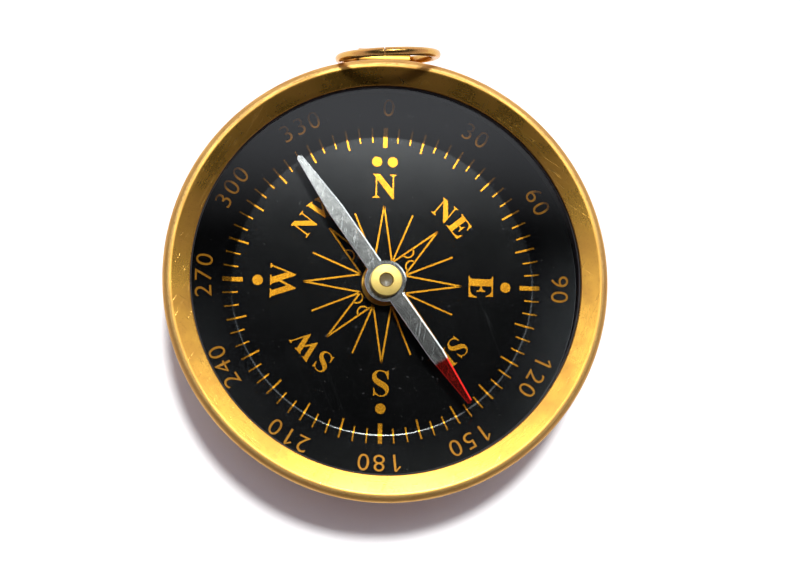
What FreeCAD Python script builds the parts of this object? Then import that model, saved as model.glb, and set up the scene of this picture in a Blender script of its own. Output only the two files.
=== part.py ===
import FreeCAD, Part
import math
import os

# Open-face brass pocket compass with a steel needle and a bow ring.
#
# Millimetres. The compass lies on its flat back, dial up. The origin is the
# centre of the back on the needle's axis. +Z goes up through the glass, +Y
# towards north on the dial and towards the bow ring.

Vec = FreeCAD.Vector
ORIGIN = Vec(0, 0, 0)
X_AXIS = Vec(1, 0, 0)
Y_AXIS = Vec(0, 1, 0)
Z_AXIS = Vec(0, 0, 1)
FULL_TURN = 360

# Overall size of the case
BEZEL_OUTER_R = 25.0
CASE_HEIGHT = 12.5

# Fits between pieces
PRESS_GAP = 0.02        # radial, pieces pressed or soldered together
LOOSE_GAP = 0.15        # radial, rings and discs dropped into the cup
BOW_CLEARANCE = 0.08    # between the resting bow ring and the bezel

# Bezel, pressed from sheet: outer roll, dished band, lip and skirt
BEZEL_SHEET = 0.38
ROLL_R = 0.5
ROLL_PROUD = 0.25       # how far the roll stands out past the skirt
CREASE_ANGLE = math.radians(154.0)
BAND_WIDTH = 2.05
BAND_SLOPE = math.radians(12.0)
LIP_LAND = 0.6
SKIRT_DEPTH = 2.6

# Cup, drawn from sheet
CUP_WALL = 0.5
CUP_CORNER_R = 2.0
RIM_GAP = 0.3           # cup rim to the underside of the roll

# Glass and its rings
GASKET_T = 0.25
GASKET_OVERLAP = 0.15   # how far the gasket shows inside the bezel's lip
GLASS_T = 1.3
RING_SHEET = 0.4
WELL_MARGIN = 0.42      # spacer wall, outside the bezel's opening

# Dial
DIAL_T = 0.4
DIAL_FLAT_R = 17.5
DIAL_FLANGE_SLOPE = math.radians(18.0)
SEAT_FLANGE_T = 0.6
SEAT_RELIEF = 0.3

# Pivot
PILLAR_R = 1.5
PILLAR_FOOT_R = 2.3
PILLAR_FOOT_T = 0.8
NECK_R = 1.0
NECK_STANDOUT = 0.2
WASHER_R = 2.62
WASHER_T = 0.25
NUT_SIDES = 6
NUT_FLATS = 3.2         # across flats
NUT_T = 0.8
PIN_R = 0.3
PIN_SET_DEPTH = 2.0
PIN_POINT_LENGTH = 1.1
PIN_POINT_R = 0.03

# Needle, silver half towards +Y before it is turned to its bearing
NEEDLE_T = 0.25
NEEDLE_BEVEL = 0.08
NEEDLE_WIDTH = 1.85
NEEDLE_SHOULDER = 10.1
SILVER_LENGTH = 17.6
SILVER_TIP_WIDTH = 0.75
RED_LENGTH = 17.0
RED_TIP_WIDTH = 0.63
NEEDLE_DISC_R = 2.41
NEEDLE_BEARING = math.radians(325.2)

# Needle cap and its jewel
CAP_R = 1.83
CAP_HEIGHT = 0.95       # above the blade
CAP_EDGE = 0.18
CAP_TENON_R = 1.15
CAP_TENON_DEPTH = 0.5   # below the blade
CAP_BORE_R = 0.6
CAP_PIT_R = 0.82
CAP_PIT_DEPTH = 0.25
JEWEL_R = 0.72
JEWEL_T = 0.5
JEWEL_CUP_R = 0.45
JEWEL_CUP_DEPTH = 0.35
POINT_CLEARANCE = 0.03
TENON_CLEARANCE = 0.45  # tenon above the pillar's neck
CAP_HEADROOM = 0.49     # cap below the glass

# Bow ring and its lug
WIRE_R = 0.48
BOW_MEAN_R = 5.55
BOW_TWIST = math.radians(3.5)
BOW_SPLIT = math.radians(0.6)
BOW_SPLIT_ANGLE = math.radians(9.5)
EYE_WIDTH = 6.0
EYE_WALL = 0.4
EYE_CLEARANCE = 0.1
LUG_FOOT_T = 0.5
LUG_FOOT_WIDTH = 7.2
LUG_FOOT_HEIGHT = 4.6
LUG_FOOT_CORNER_R = 1.2
LUG_FOOT_GAP = 0.2      # below the bezel's skirt
LUG_SEAT_OVERLAP = 0.08  # eye sunk into the foot's face

# Search for the lean at which the bow rests
WIRE_SAMPLES = 360
STEEPEST_LEAN = math.radians(60.0)
HALVINGS = 24

# Heights, worked down from the top of the case
ROLL_CENTRE_R = BEZEL_OUTER_R - ROLL_R
ROLL_CENTRE_Z = CASE_HEIGHT - ROLL_R
CREASE_R = ROLL_CENTRE_R + ROLL_R * math.cos(CREASE_ANGLE)
CREASE_Z = ROLL_CENTRE_Z + ROLL_R * math.sin(CREASE_ANGLE)
OPENING_R = CREASE_R - BAND_WIDTH
LIP_TOP_Z = CREASE_Z - BAND_WIDTH * math.tan(BAND_SLOPE)
LIP_Z = LIP_TOP_Z - BEZEL_SHEET
SKIRT_OUTER_R = BEZEL_OUTER_R - ROLL_PROUD
SKIRT_INNER_R = SKIRT_OUTER_R - BEZEL_SHEET
SKIRT_Z = ROLL_CENTRE_Z - SKIRT_DEPTH
CUP_OUTER_R = SKIRT_INNER_R - PRESS_GAP
CUP_INNER_R = CUP_OUTER_R - CUP_WALL
CUP_RIM_Z = LIP_Z - RIM_GAP
INSERT_R = CUP_INNER_R - LOOSE_GAP
GLASS_TOP_Z = LIP_Z - GASKET_T
GLASS_Z = GLASS_TOP_Z - GLASS_T
WELL_R = OPENING_R + WELL_MARGIN
CAP_TOP_Z = GLASS_Z - CAP_HEADROOM
BLADE_TOP_Z = CAP_TOP_Z - CAP_HEIGHT
BLADE_Z = BLADE_TOP_Z - NEEDLE_T
NECK_TOP_Z = BLADE_Z - CAP_TENON_DEPTH - TENON_CLEARANCE
DIAL_Z = NECK_TOP_Z - NECK_STANDOUT - NUT_T - WASHER_T
DIAL_RIM_Z = DIAL_Z + (WELL_R - DIAL_FLAT_R) * math.tan(DIAL_FLANGE_SLOPE)
JEWEL_TOP_Z = CAP_TOP_Z - CAP_PIT_DEPTH
JEWEL_Z = JEWEL_TOP_Z - JEWEL_T
POINT_Z = JEWEL_Z + JEWEL_CUP_DEPTH - POINT_CLEARANCE

# Bow eye: the bent wire needs room for its own curve and its twist
HALF_EYE = EYE_WIDTH / 2
BOW_OUTER_R = BOW_MEAN_R + WIRE_R
BOW_INNER_R = BOW_MEAN_R - WIRE_R
WIRE_REACH = (BOW_OUTER_R - math.sqrt(BOW_INNER_R ** 2 - HALF_EYE ** 2)) / 2
EYE_R = math.hypot(WIRE_REACH, HALF_EYE * math.sin(BOW_TWIST)) + EYE_CLEARANCE
EYE_OUTER_R = EYE_R + EYE_WALL
LUG_BACK_R = CUP_OUTER_R + PRESS_GAP
LUG_FACE_R = LUG_BACK_R + LUG_FOOT_T
EYE_Y = LUG_FACE_R - LUG_SEAT_OVERLAP + EYE_OUTER_R
LUG_FOOT_Z = SKIRT_Z - LUG_FOOT_GAP - LUG_FOOT_HEIGHT
EYE_Z = LUG_FOOT_Z + LUG_FOOT_HEIGHT / 2
BOW_CENTRE_RISE = BOW_OUTER_R - WIRE_REACH


def turned(points):
    """Solid of revolution about Z from the corners of a (radius, height) outline."""
    return section_solid(chain(points + points[:1]))


def disc(radius, z, height, hole_r=0.0):
    """Flat disc or washer standing on height z."""
    body = Part.makeCylinder(radius, height, Vec(0, 0, z))
    if hole_r:
        body = body.cut(Part.makeCylinder(hole_r, height, Vec(0, 0, z)))
    return body


def plate(outline, z, height):
    """Flat plate standing on height z, from the (x, y) corners of its outline."""
    corners = [Vec(x, y, z) for x, y in outline]
    return Part.Face(Part.makePolygon(corners + corners[:1])).extrude(Vec(0, 0, height))


def section_solid(edges):
    """Solid of revolution about Z from the edges of a closed section."""
    return Part.Face(Part.Wire(edges)).revolve(ORIGIN, Z_AXIS, FULL_TURN)


def line(start, end):
    """Straight edge of a section between two (radius, height) points."""
    return Part.makeLine(Vec(start[0], 0, start[1]), Vec(end[0], 0, end[1]))


def section_arc(centre, radius, start, end):
    """Arc edge of a section between two angles about a (radius, height) centre."""
    angles = (start, (start + end) / 2, end)
    ends = [Vec(centre[0] + radius * math.cos(a), 0, centre[1] + radius * math.sin(a)) for a in angles]
    return Part.Arc(*ends).toShape()


def chain(points):
    """Straight edges joining the points of a section in order."""
    return [line(a, b) for a, b in zip(points, points[1:])]


def case_cup():
    """Drawn cup: flat floor, rounded corner and straight wall."""
    centre = (CUP_OUTER_R - CUP_CORNER_R, CUP_CORNER_R)
    down, level = -math.pi / 2, 0.0
    inner_corner_r = CUP_CORNER_R - CUP_WALL
    edges = [
        line((0, 0), (centre[0], 0)),
        section_arc(centre, CUP_CORNER_R, down, level),
        *chain([(CUP_OUTER_R, CUP_CORNER_R), (CUP_OUTER_R, CUP_RIM_Z),
                (CUP_INNER_R, CUP_RIM_Z), (CUP_INNER_R, CUP_CORNER_R)]),
        section_arc(centre, inner_corner_r, level, down),
        *chain([(centre[0], CUP_WALL), (0, CUP_WALL), (0, 0)]),
    ]
    return section_solid(edges)


def bezel_ring():
    """Pressed bezel: skirt over the cup, outer roll, dished band and lip."""
    roll = (ROLL_CENTRE_R, ROLL_CENTRE_Z)
    meet = -math.acos((SKIRT_OUTER_R - ROLL_CENTRE_R) / ROLL_R)
    meet_z = ROLL_CENTRE_Z + ROLL_R * math.sin(meet)
    land_r = OPENING_R + LIP_LAND
    shoulder_z = LIP_Z + (SKIRT_INNER_R - land_r) * math.tan(BAND_SLOPE)
    edges = [
        section_arc(roll, ROLL_R, meet, CREASE_ANGLE),
        *chain([(CREASE_R, CREASE_Z), (OPENING_R, LIP_TOP_Z), (OPENING_R, LIP_Z), (land_r, LIP_Z),
                (SKIRT_INNER_R, shoulder_z), (SKIRT_INNER_R, SKIRT_Z), (SKIRT_OUTER_R, SKIRT_Z),
                (SKIRT_OUTER_R, meet_z)]),
    ]
    return section_solid(edges)


def lens_gasket():
    """Thin black ring between the bezel's lip and the glass."""
    return disc(OPENING_R + LIP_LAND, GLASS_TOP_Z, GASKET_T, OPENING_R - GASKET_OVERLAP)


def lens_glass():
    """Flat glass disc."""
    return disc(INSERT_R, GLASS_Z, GLASS_T)


def lens_spacer():
    """Channel ring that holds the glass off the dial's rim."""
    web_r = WELL_R + RING_SHEET
    low, high = DIAL_RIM_Z, GLASS_Z
    return turned([
        (WELL_R, low), (INSERT_R, low), (INSERT_R, low + RING_SHEET), (web_r, low + RING_SHEET),
        (web_r, high - RING_SHEET), (INSERT_R, high - RING_SHEET), (INSERT_R, high), (WELL_R, high),
    ])


def dial_plate():
    """Dished dial: flat middle, rising flange and a flat rim."""
    bore_r = NECK_R + PRESS_GAP
    face = [(bore_r, DIAL_Z), (DIAL_FLAT_R, DIAL_Z), (WELL_R, DIAL_RIM_Z), (INSERT_R, DIAL_RIM_Z)]
    back = [(r, z - DIAL_T) for r, z in reversed(face)]
    return turned(face + back)


def dial_seat_ring():
    """Ring on the cup's floor that carries the dial's rim."""
    web_outer_r = CUP_OUTER_R - CUP_CORNER_R - LOOSE_GAP
    web_inner_r = web_outer_r - RING_SHEET
    top = DIAL_RIM_Z - DIAL_T
    ledge_z = top - SEAT_RELIEF
    flange_z = top - SEAT_FLANGE_T
    return turned([
        (web_inner_r, CUP_WALL), (web_outer_r, CUP_WALL), (web_outer_r, flange_z), (INSERT_R, flange_z),
        (INSERT_R, top), (WELL_R + SEAT_RELIEF, top), (WELL_R, ledge_z), (web_inner_r, ledge_z),
    ])


def pivot_pillar():
    """Turned pillar soldered to the floor, with a neck through the dial."""
    shoulder_z = DIAL_Z - DIAL_T
    foot = disc(PILLAR_FOOT_R, CUP_WALL, PILLAR_FOOT_T)
    column = disc(PILLAR_R, CUP_WALL, shoulder_z - CUP_WALL)
    neck = disc(NECK_R, CUP_WALL, NECK_TOP_Z - CUP_WALL)
    bore = disc(PIN_R + PRESS_GAP, NECK_TOP_Z - PIN_SET_DEPTH, PIN_SET_DEPTH)
    return foot.fuse([column, neck]).removeSplitter().cut(bore)


def pivot_washer():
    """Brass washer on the dial around the pillar's neck."""
    return disc(WASHER_R, DIAL_Z, WASHER_T, NECK_R + PRESS_GAP)


def pivot_nut():
    """Hexagon nut that clamps the washer and the dial on the pillar."""
    z = DIAL_Z + WASHER_T
    corner_r = NUT_FLATS / 2 / math.cos(math.pi / NUT_SIDES)
    angles = [2 * math.pi * i / NUT_SIDES for i in range(NUT_SIDES)]
    blank = plate([(corner_r * math.cos(a), corner_r * math.sin(a)) for a in angles], z, NUT_T)
    return blank.cut(disc(NECK_R + PRESS_GAP, z, NUT_T))


def pivot_pin():
    """Hardened steel point, pressed into the pillar."""
    base_z = NECK_TOP_Z - PIN_SET_DEPTH
    cone_z = POINT_Z - PIN_POINT_LENGTH
    shank = disc(PIN_R, base_z, cone_z - base_z)
    point = Part.makeCone(PIN_R, PIN_POINT_R, PIN_POINT_LENGTH, Vec(0, 0, cone_z))
    return shank.fuse(point).removeSplitter()


def needle_outline():
    """Corners of the blade seen from above, before it is turned."""
    half = NEEDLE_WIDTH / 2
    right = [(SILVER_TIP_WIDTH / 2, SILVER_LENGTH), (half, NEEDLE_SHOULDER),
             (half, -NEEDLE_SHOULDER), (RED_TIP_WIDTH / 2, -RED_LENGTH)]
    left = [(-x, y) for x, y in reversed(right)]
    return right + left


def needle_blade():
    """Magnetised steel blade with a round middle and bevelled top edges."""
    strip = plate(needle_outline(), BLADE_Z, NEEDLE_T)
    blank = strip.fuse(disc(NEEDLE_DISC_R, BLADE_Z, NEEDLE_T)).removeSplitter()
    top_edges = [e for e in blank.Edges if e.BoundBox.ZMin > BLADE_TOP_Z - NEEDLE_BEVEL]
    bevelled = blank.makeChamfer(NEEDLE_BEVEL, top_edges)
    blade = bevelled.cut(disc(CAP_TENON_R + PRESS_GAP, BLADE_Z, NEEDLE_T))
    blade.rotate(ORIGIN, Z_AXIS, -math.degrees(NEEDLE_BEARING))
    return blade


def needle_cap():
    """Turned brass cap: boss on the blade, tenon below, pit for the jewel."""
    tenon_z = BLADE_Z - CAP_TENON_DEPTH
    return turned([
        (CAP_BORE_R, tenon_z), (CAP_TENON_R, tenon_z), (CAP_TENON_R, BLADE_TOP_Z), (CAP_R, BLADE_TOP_Z),
        (CAP_R, CAP_TOP_Z - CAP_EDGE), (CAP_R - CAP_EDGE, CAP_TOP_Z), (CAP_PIT_R, CAP_TOP_Z),
        (JEWEL_R + PRESS_GAP, JEWEL_TOP_Z), (JEWEL_R + PRESS_GAP, JEWEL_Z), (CAP_BORE_R, JEWEL_Z),
    ])


def cap_jewel():
    """Hard stone bearing with a hollow that rides on the steel point."""
    hollow = Part.makeCone(JEWEL_CUP_R, PIN_POINT_R, JEWEL_CUP_DEPTH, Vec(0, 0, JEWEL_Z))
    return disc(JEWEL_R, JEWEL_Z, JEWEL_T).cut(hollow)


def bow_lug():
    """Brass strap lug: curved foot on the cup's wall and an eye for the bow."""
    shell = disc(LUG_FACE_R, LUG_FOOT_Z, LUG_FOOT_HEIGHT, LUG_BACK_R)
    depth = LUG_FACE_R
    blank = Part.makeBox(LUG_FOOT_WIDTH, depth, LUG_FOOT_HEIGHT, Vec(-LUG_FOOT_WIDTH / 2, 0, LUG_FOOT_Z))
    corner_edges = [e for e in blank.Edges if e.BoundBox.YLength > depth / 2]
    foot = shell.common(blank.makeFillet(LUG_FOOT_CORNER_R, corner_edges))
    eye = Part.makeCylinder(EYE_OUTER_R, EYE_WIDTH, Vec(-HALF_EYE, EYE_Y, EYE_Z), X_AXIS)
    bore = Part.makeCylinder(EYE_R, EYE_WIDTH, Vec(-HALF_EYE, EYE_Y, EYE_Z), X_AXIS)
    neck_r = EYE_OUTER_R * math.sin(math.pi / 4)
    neck_start = math.sqrt(LUG_BACK_R ** 2 - HALF_EYE ** 2) + LUG_FOOT_T / 2
    neck_corner = Vec(-HALF_EYE, neck_start, EYE_Z - neck_r)
    neck = Part.makeBox(EYE_WIDTH, EYE_Y - neck_start, 2 * neck_r, neck_corner)
    neck = neck.cut(disc(LUG_BACK_R + LUG_FOOT_T / 2, LUG_FOOT_Z, LUG_FOOT_HEIGHT))
    return foot.fuse([eye, neck]).removeSplitter().cut(bore)


def placed_on_eye(shape, lean):
    """Turn a bow shape by its twist and a lean towards the dial, onto the eye."""
    moved = shape.copy()
    moved.rotate(ORIGIN, Z_AXIS, math.degrees(BOW_TWIST))
    moved.rotate(ORIGIN, X_AXIS, math.degrees(lean))
    moved.translate(Vec(0, EYE_Y, EYE_Z))
    return moved


def bow_gap(lean):
    """Smallest gap between the leaning wire and the bezel's roll."""
    gaps = []
    for step in range(WIRE_SAMPLES):
        a = 2 * math.pi * step / WIRE_SAMPLES
        x = BOW_MEAN_R * math.sin(a)
        z = BOW_CENTRE_RISE + BOW_MEAN_R * math.cos(a)
        point = placed_on_eye(Part.Vertex(x, 0, z), lean).Point
        radial = math.hypot(point.x, point.y) - ROLL_CENTRE_R
        gaps.append(math.hypot(radial, point.z - ROLL_CENTRE_Z) - ROLL_R - WIRE_R)
    return min(gaps)


def resting_lean():
    """Lean at which the bow rests on the bezel, found by halving."""
    clear, touching = 0.0, STEEPEST_LEAN
    for _ in range(HALVINGS):
        lean = (clear + touching) / 2
        if bow_gap(lean) > BOW_CLEARANCE:
            clear = lean
        else:
            touching = lean
    return clear


def bow_ring():
    """Split wire ring, standing in its eye and leaning on the bezel."""
    section = Part.Face(Part.Wire(Part.makeCircle(WIRE_R, Vec(BOW_MEAN_R, 0, 0), Z_AXIS)))
    ring = section.revolve(ORIGIN, Y_AXIS, FULL_TURN - math.degrees(BOW_SPLIT))
    ring.rotate(ORIGIN, Y_AXIS, math.degrees(BOW_SPLIT / 2 - math.pi / 2 - BOW_SPLIT_ANGLE))
    ring.translate(Vec(0, 0, BOW_CENTRE_RISE))
    return placed_on_eye(ring, resting_lean())


PIECES = (
    case_cup, bezel_ring, lens_gasket, lens_glass, lens_spacer, dial_plate, dial_seat_ring,
    pivot_pillar, pivot_washer, pivot_nut, pivot_pin,
    needle_blade, needle_cap, cap_jewel, bow_lug, bow_ring,
)

os.makedirs("parts", exist_ok=True)
for piece in PIECES:
    solid = piece()
    assert solid.isValid() and solid.Volume > 0, piece.__name__
    solid.exportStep("parts/" + piece.__name__ + ".step")
    print(piece.__name__, len(solid.Solids), round(solid.Volume, 3))
print("bow eye at y", round(EYE_Y, 3), "z", round(EYE_Z, 3))
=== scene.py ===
"""Open-face brass pocket compass: finished pieces, floor, light and camera around its CAD frame."""

import logging
import math
from dataclasses import dataclass, field
from enum import Enum
from typing import Any, Iterable, Mapping, Sequence, Union

import bmesh
import bpy
from mathutils import Matrix, Vector


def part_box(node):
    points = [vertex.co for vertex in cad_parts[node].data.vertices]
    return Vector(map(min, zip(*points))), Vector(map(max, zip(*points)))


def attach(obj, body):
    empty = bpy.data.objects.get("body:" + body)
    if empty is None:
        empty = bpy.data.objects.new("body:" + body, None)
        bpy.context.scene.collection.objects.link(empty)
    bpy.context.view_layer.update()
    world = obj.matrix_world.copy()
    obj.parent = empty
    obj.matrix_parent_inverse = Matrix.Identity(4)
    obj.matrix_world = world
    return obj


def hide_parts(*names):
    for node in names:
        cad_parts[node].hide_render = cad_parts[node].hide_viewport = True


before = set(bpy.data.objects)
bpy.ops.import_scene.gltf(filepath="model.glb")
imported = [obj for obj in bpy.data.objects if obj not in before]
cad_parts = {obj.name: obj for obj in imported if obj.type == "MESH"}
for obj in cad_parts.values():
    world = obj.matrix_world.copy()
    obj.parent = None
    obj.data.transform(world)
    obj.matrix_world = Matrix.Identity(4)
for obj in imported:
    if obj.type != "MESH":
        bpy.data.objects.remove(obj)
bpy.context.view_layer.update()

LOG = logging.getLogger("compass")

MM = 0.001
TURN_STEPS = 256
FINE_STEPS = 128
SMALL_STEPS = 96
TUBE_STEPS = 64
WIRE_STEPS = 40
ROUND_STEPS = 6
BREAK_STEPS = 2
SHARP_ANGLE = math.radians(32.0)
BLADE_SHARP = math.radians(9.0)
WELD = 1e-7
SUPPORT = 0.012 * MM

Colour = tuple[float, float, float]
Span = tuple[float, float]
Number = Union[float, "Tone"]


class Body(Enum):
    """The CAD bodies that pieces ride on."""

    CASE = "case"
    NEEDLE = "needle"
    BOW = "bow"


class Slot(Enum):
    """The record's material slots named for the new pieces."""

    CASE_BRASS = "case_brass"
    BEZEL_BRASS = "bezel_brass"
    WIRE_BRASS = "wire_brass"
    TURNED_BRASS = "turned_brass"
    BLACKENED_BRASS = "blackened_brass"
    DIAL_ENAMEL = "dial_enamel"
    GASKET_BLACK = "gasket_black"
    LENS_GLASS = "lens_glass"
    NEEDLE_STEEL = "needle_steel"
    JEWEL_STONE = "jewel_stone"


class Grain(Enum):
    """How a brass surface was worked, which sets the run of its fine lines."""

    TURNED = "turned"
    DRAWN = "drawn"
    CAST = "cast"


# ---------------------------------------------------------------- shader bench


@dataclass
class Tone:
    """A number in a node tree that takes part in ordinary arithmetic."""

    bench: "Bench"
    socket: bpy.types.NodeSocket

    def _math(self, operation: str, *values: Number) -> "Tone":
        """Add a Math node over the values and wrap its result."""
        node = self.bench.add("ShaderNodeMath", {"operation": operation}, dict(enumerate(values)))
        return Tone(self.bench, node.outputs[0])

    def __add__(self, other: Number) -> "Tone":
        """Sum of two numbers."""
        return self._math("ADD", self, other)

    def __sub__(self, other: Number) -> "Tone":
        """This number less another."""
        return self._math("SUBTRACT", self, other)

    def __rsub__(self, other: Number) -> "Tone":
        """Another number less this one."""
        return self._math("SUBTRACT", other, self)

    def __mul__(self, other: Number) -> "Tone":
        """Product of two numbers."""
        return self._math("MULTIPLY", self, other)

    def __truediv__(self, other: Number) -> "Tone":
        """This number over another."""
        return self._math("DIVIDE", self, other)

    def __pow__(self, other: Number) -> "Tone":
        """This number to a power."""
        return self._math("POWER", self, other)

    def __abs__(self) -> "Tone":
        """Size of the number without its sign."""
        return self._math("ABSOLUTE", self)

    __radd__ = __add__
    __rmul__ = __mul__

    def step(self, low: float, high: float) -> "Tone":
        """Rise smoothly from 0 at low to 1 at high; low above high falls instead.

        Args:
            low: where the result is 0.
            high: where the result is 1.

        Returns:
            A number from 0 to 1.
        """
        flipped = low > high
        ends = {"From Min": min(low, high), "From Max": max(low, high)}
        settings = {"interpolation_type": "SMOOTHSTEP"}
        node = self.bench.add("ShaderNodeMapRange", settings, {"Value": self, **ends})
        rising = Tone(self.bench, node.outputs[0])
        return 1 - rising if flipped else rising

    def line(self, at: float, half_width: float) -> "Tone":
        """A narrow band, 1 where the number equals at and 0 from half_width away."""
        return abs(self - at).step(half_width, 0.0)


class Bench:
    """A node tree under construction."""

    def __init__(self, tree: bpy.types.NodeTree) -> None:
        """Start by emptying the tree of a material or a world."""
        self.tree = tree
        self.tree.nodes.clear()

    def add(
        self,
        kind: str,
        settings: Mapping[str, Any] | None = None,
        inputs: Mapping[Any, Any] | None = None,
    ) -> bpy.types.Node:
        """Add one node, its settings first and its sockets after.

        Args:
            kind: the node's type name.
            settings: properties of the node, such as a Math node's operation.
            inputs: socket name or number to a plain value, a socket or a Tone.

        Returns:
            The new node.
        """
        node = self.tree.nodes.new(kind)
        for name, value in (settings or {}).items():
            setattr(node, name, value)
        for key, value in (inputs or {}).items():
            source = value.socket if isinstance(value, Tone) else value
            if isinstance(source, bpy.types.NodeSocket):
                self.tree.links.new(source, node.inputs[key])
            else:
                node.inputs[key].default_value = source
        return node

    def vector(self, x: Number, y: Number, z: Number) -> bpy.types.NodeSocket:
        """Join three numbers into a vector."""
        return self.add("ShaderNodeCombineXYZ", None, {0: x, 1: y, 2: z}).outputs[0]

    def split(self, vector: bpy.types.NodeSocket) -> tuple[Tone, Tone, Tone]:
        """Take a vector apart into its three numbers."""
        outputs = self.add("ShaderNodeSeparateXYZ", None, {0: vector}).outputs
        return Tone(self, outputs[0]), Tone(self, outputs[1]), Tone(self, outputs[2])

    def noise(self, vector: bpy.types.NodeSocket, scale: float, detail: float = 3.0) -> Tone:
        """Cloudy noise from 0 to 1, at scale repeats to the metre and with finer layers of detail."""
        inputs = {"Vector": vector, "Scale": scale, "Detail": detail}
        return Tone(self, self.add("ShaderNodeTexNoise", None, inputs).outputs[0])

    def blend(self, factor: Number, first: Any, second: Any) -> bpy.types.NodeSocket:
        """Mix two colours, plain or linked, by the share of the second."""
        inputs = {0: factor, 6: opaque(first), 7: opaque(second)}
        return self.add("ShaderNodeMix", {"data_type": "RGBA"}, inputs).outputs[2]


def opaque(colour: Any) -> Any:
    """Add a full alpha to a plain colour; a socket passes unchanged."""
    return (*colour, 1.0) if isinstance(colour, tuple) else colour


@dataclass(frozen=True)
class Cloud:
    """Patches of noise: repeats to the metre, finer layers, and the levels where a patch fades in."""

    fineness: float
    detail: float
    edge: Span


@dataclass(frozen=True)
class Scratch:
    """Scratches in one direction: its angle in radians, lines to the metre, share of the spacing."""

    turn: float
    fineness: float
    width: float


class Recipe(Bench):
    """One material under construction, read in Object coordinates."""

    def __init__(self, name: str) -> None:
        """Start a material.

        Args:
            name: name of the material.
        """
        self.material = bpy.data.materials.new(name)
        self.material.use_nodes = True
        super().__init__(self.material.node_tree)
        self.spot = self.add("ShaderNodeTexCoord").outputs["Object"]

    def axes(self) -> tuple[Tone, Tone, Tone]:
        """The point's X, Y and Z as numbers."""
        return self.split(self.spot)

    def patches(self, cloud: Cloud) -> Tone:
        """Noise on the surface, sharpened into patches that run from 0 to 1."""
        return self.noise(self.spot, cloud.fineness, cloud.detail).step(*cloud.edge)

    def radius(self) -> Tone:
        """Distance from the compass's upright axis."""
        x, y, _ = self.axes()
        return (x * x + y * y) ** 0.5

    def placed(self, turn: float, stretch: tuple[float, float, float]) -> bpy.types.NodeSocket:
        """Object coordinates turned about Z by radians, then stretched along each axis."""
        turned_spot = self.add("ShaderNodeMapping", None, {0: self.spot, 2: (0.0, 0.0, turn)})
        return self.add("ShaderNodeMapping", None, {0: turned_spot.outputs[0], 3: stretch}).outputs[0]

    def scratches(self, kind: Scratch) -> Tone:
        """Long thin lines in one direction, broken up along their length.

        Args:
            kind: their direction, fineness and width.

        Returns:
            A number from 0 to 1.
        """
        streaks = self.noise(self.placed(kind.turn, (1.0, 0.035, 0.2)), kind.fineness, 1.0)
        gaps = self.noise(self.placed(kind.turn, (1.0, 0.3, 1.0)), kind.fineness * 0.35, 2.0)
        return streaks.line(0.5, kind.width) * gaps.step(0.5, 0.62)

    def rings(self, fineness: float) -> Tone:
        """Fine lines round the upright axis, as a lathe leaves them.

        Args:
            fineness: lines to the metre of radius or height.

        Returns:
            Noise from 0 to 1 that hardly changes round a turn.
        """
        x, y, z = self.axes()
        drift = x * 0.02 + y * 0.013
        return self.noise(self.vector(self.radius() + drift, z, drift), fineness, 2.0)

    def bump(self, height: Number, depth: float) -> bpy.types.NodeSocket:
        """Normal from a height of 0 to 1, where 1 stands for the depth in metres."""
        return self.add("ShaderNodeBump", None, {"Height": height, "Distance": depth}).outputs[0]

    def principled(self, **inputs: Any) -> bpy.types.NodeSocket:
        """A Principled shader, its inputs named with underscores for spaces."""
        named = {key.replace("_", " "): opaque(value) for key, value in inputs.items()}
        return self.add("ShaderNodeBsdfPrincipled", None, named).outputs[0]

    def finish(self, shader: bpy.types.NodeSocket) -> bpy.types.Material:
        """Send a shader to the output and hand over the material."""
        self.add("ShaderNodeOutputMaterial", None, {"Surface": shader})
        return self.material


# ------------------------------------------------------------------- finishes


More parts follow.
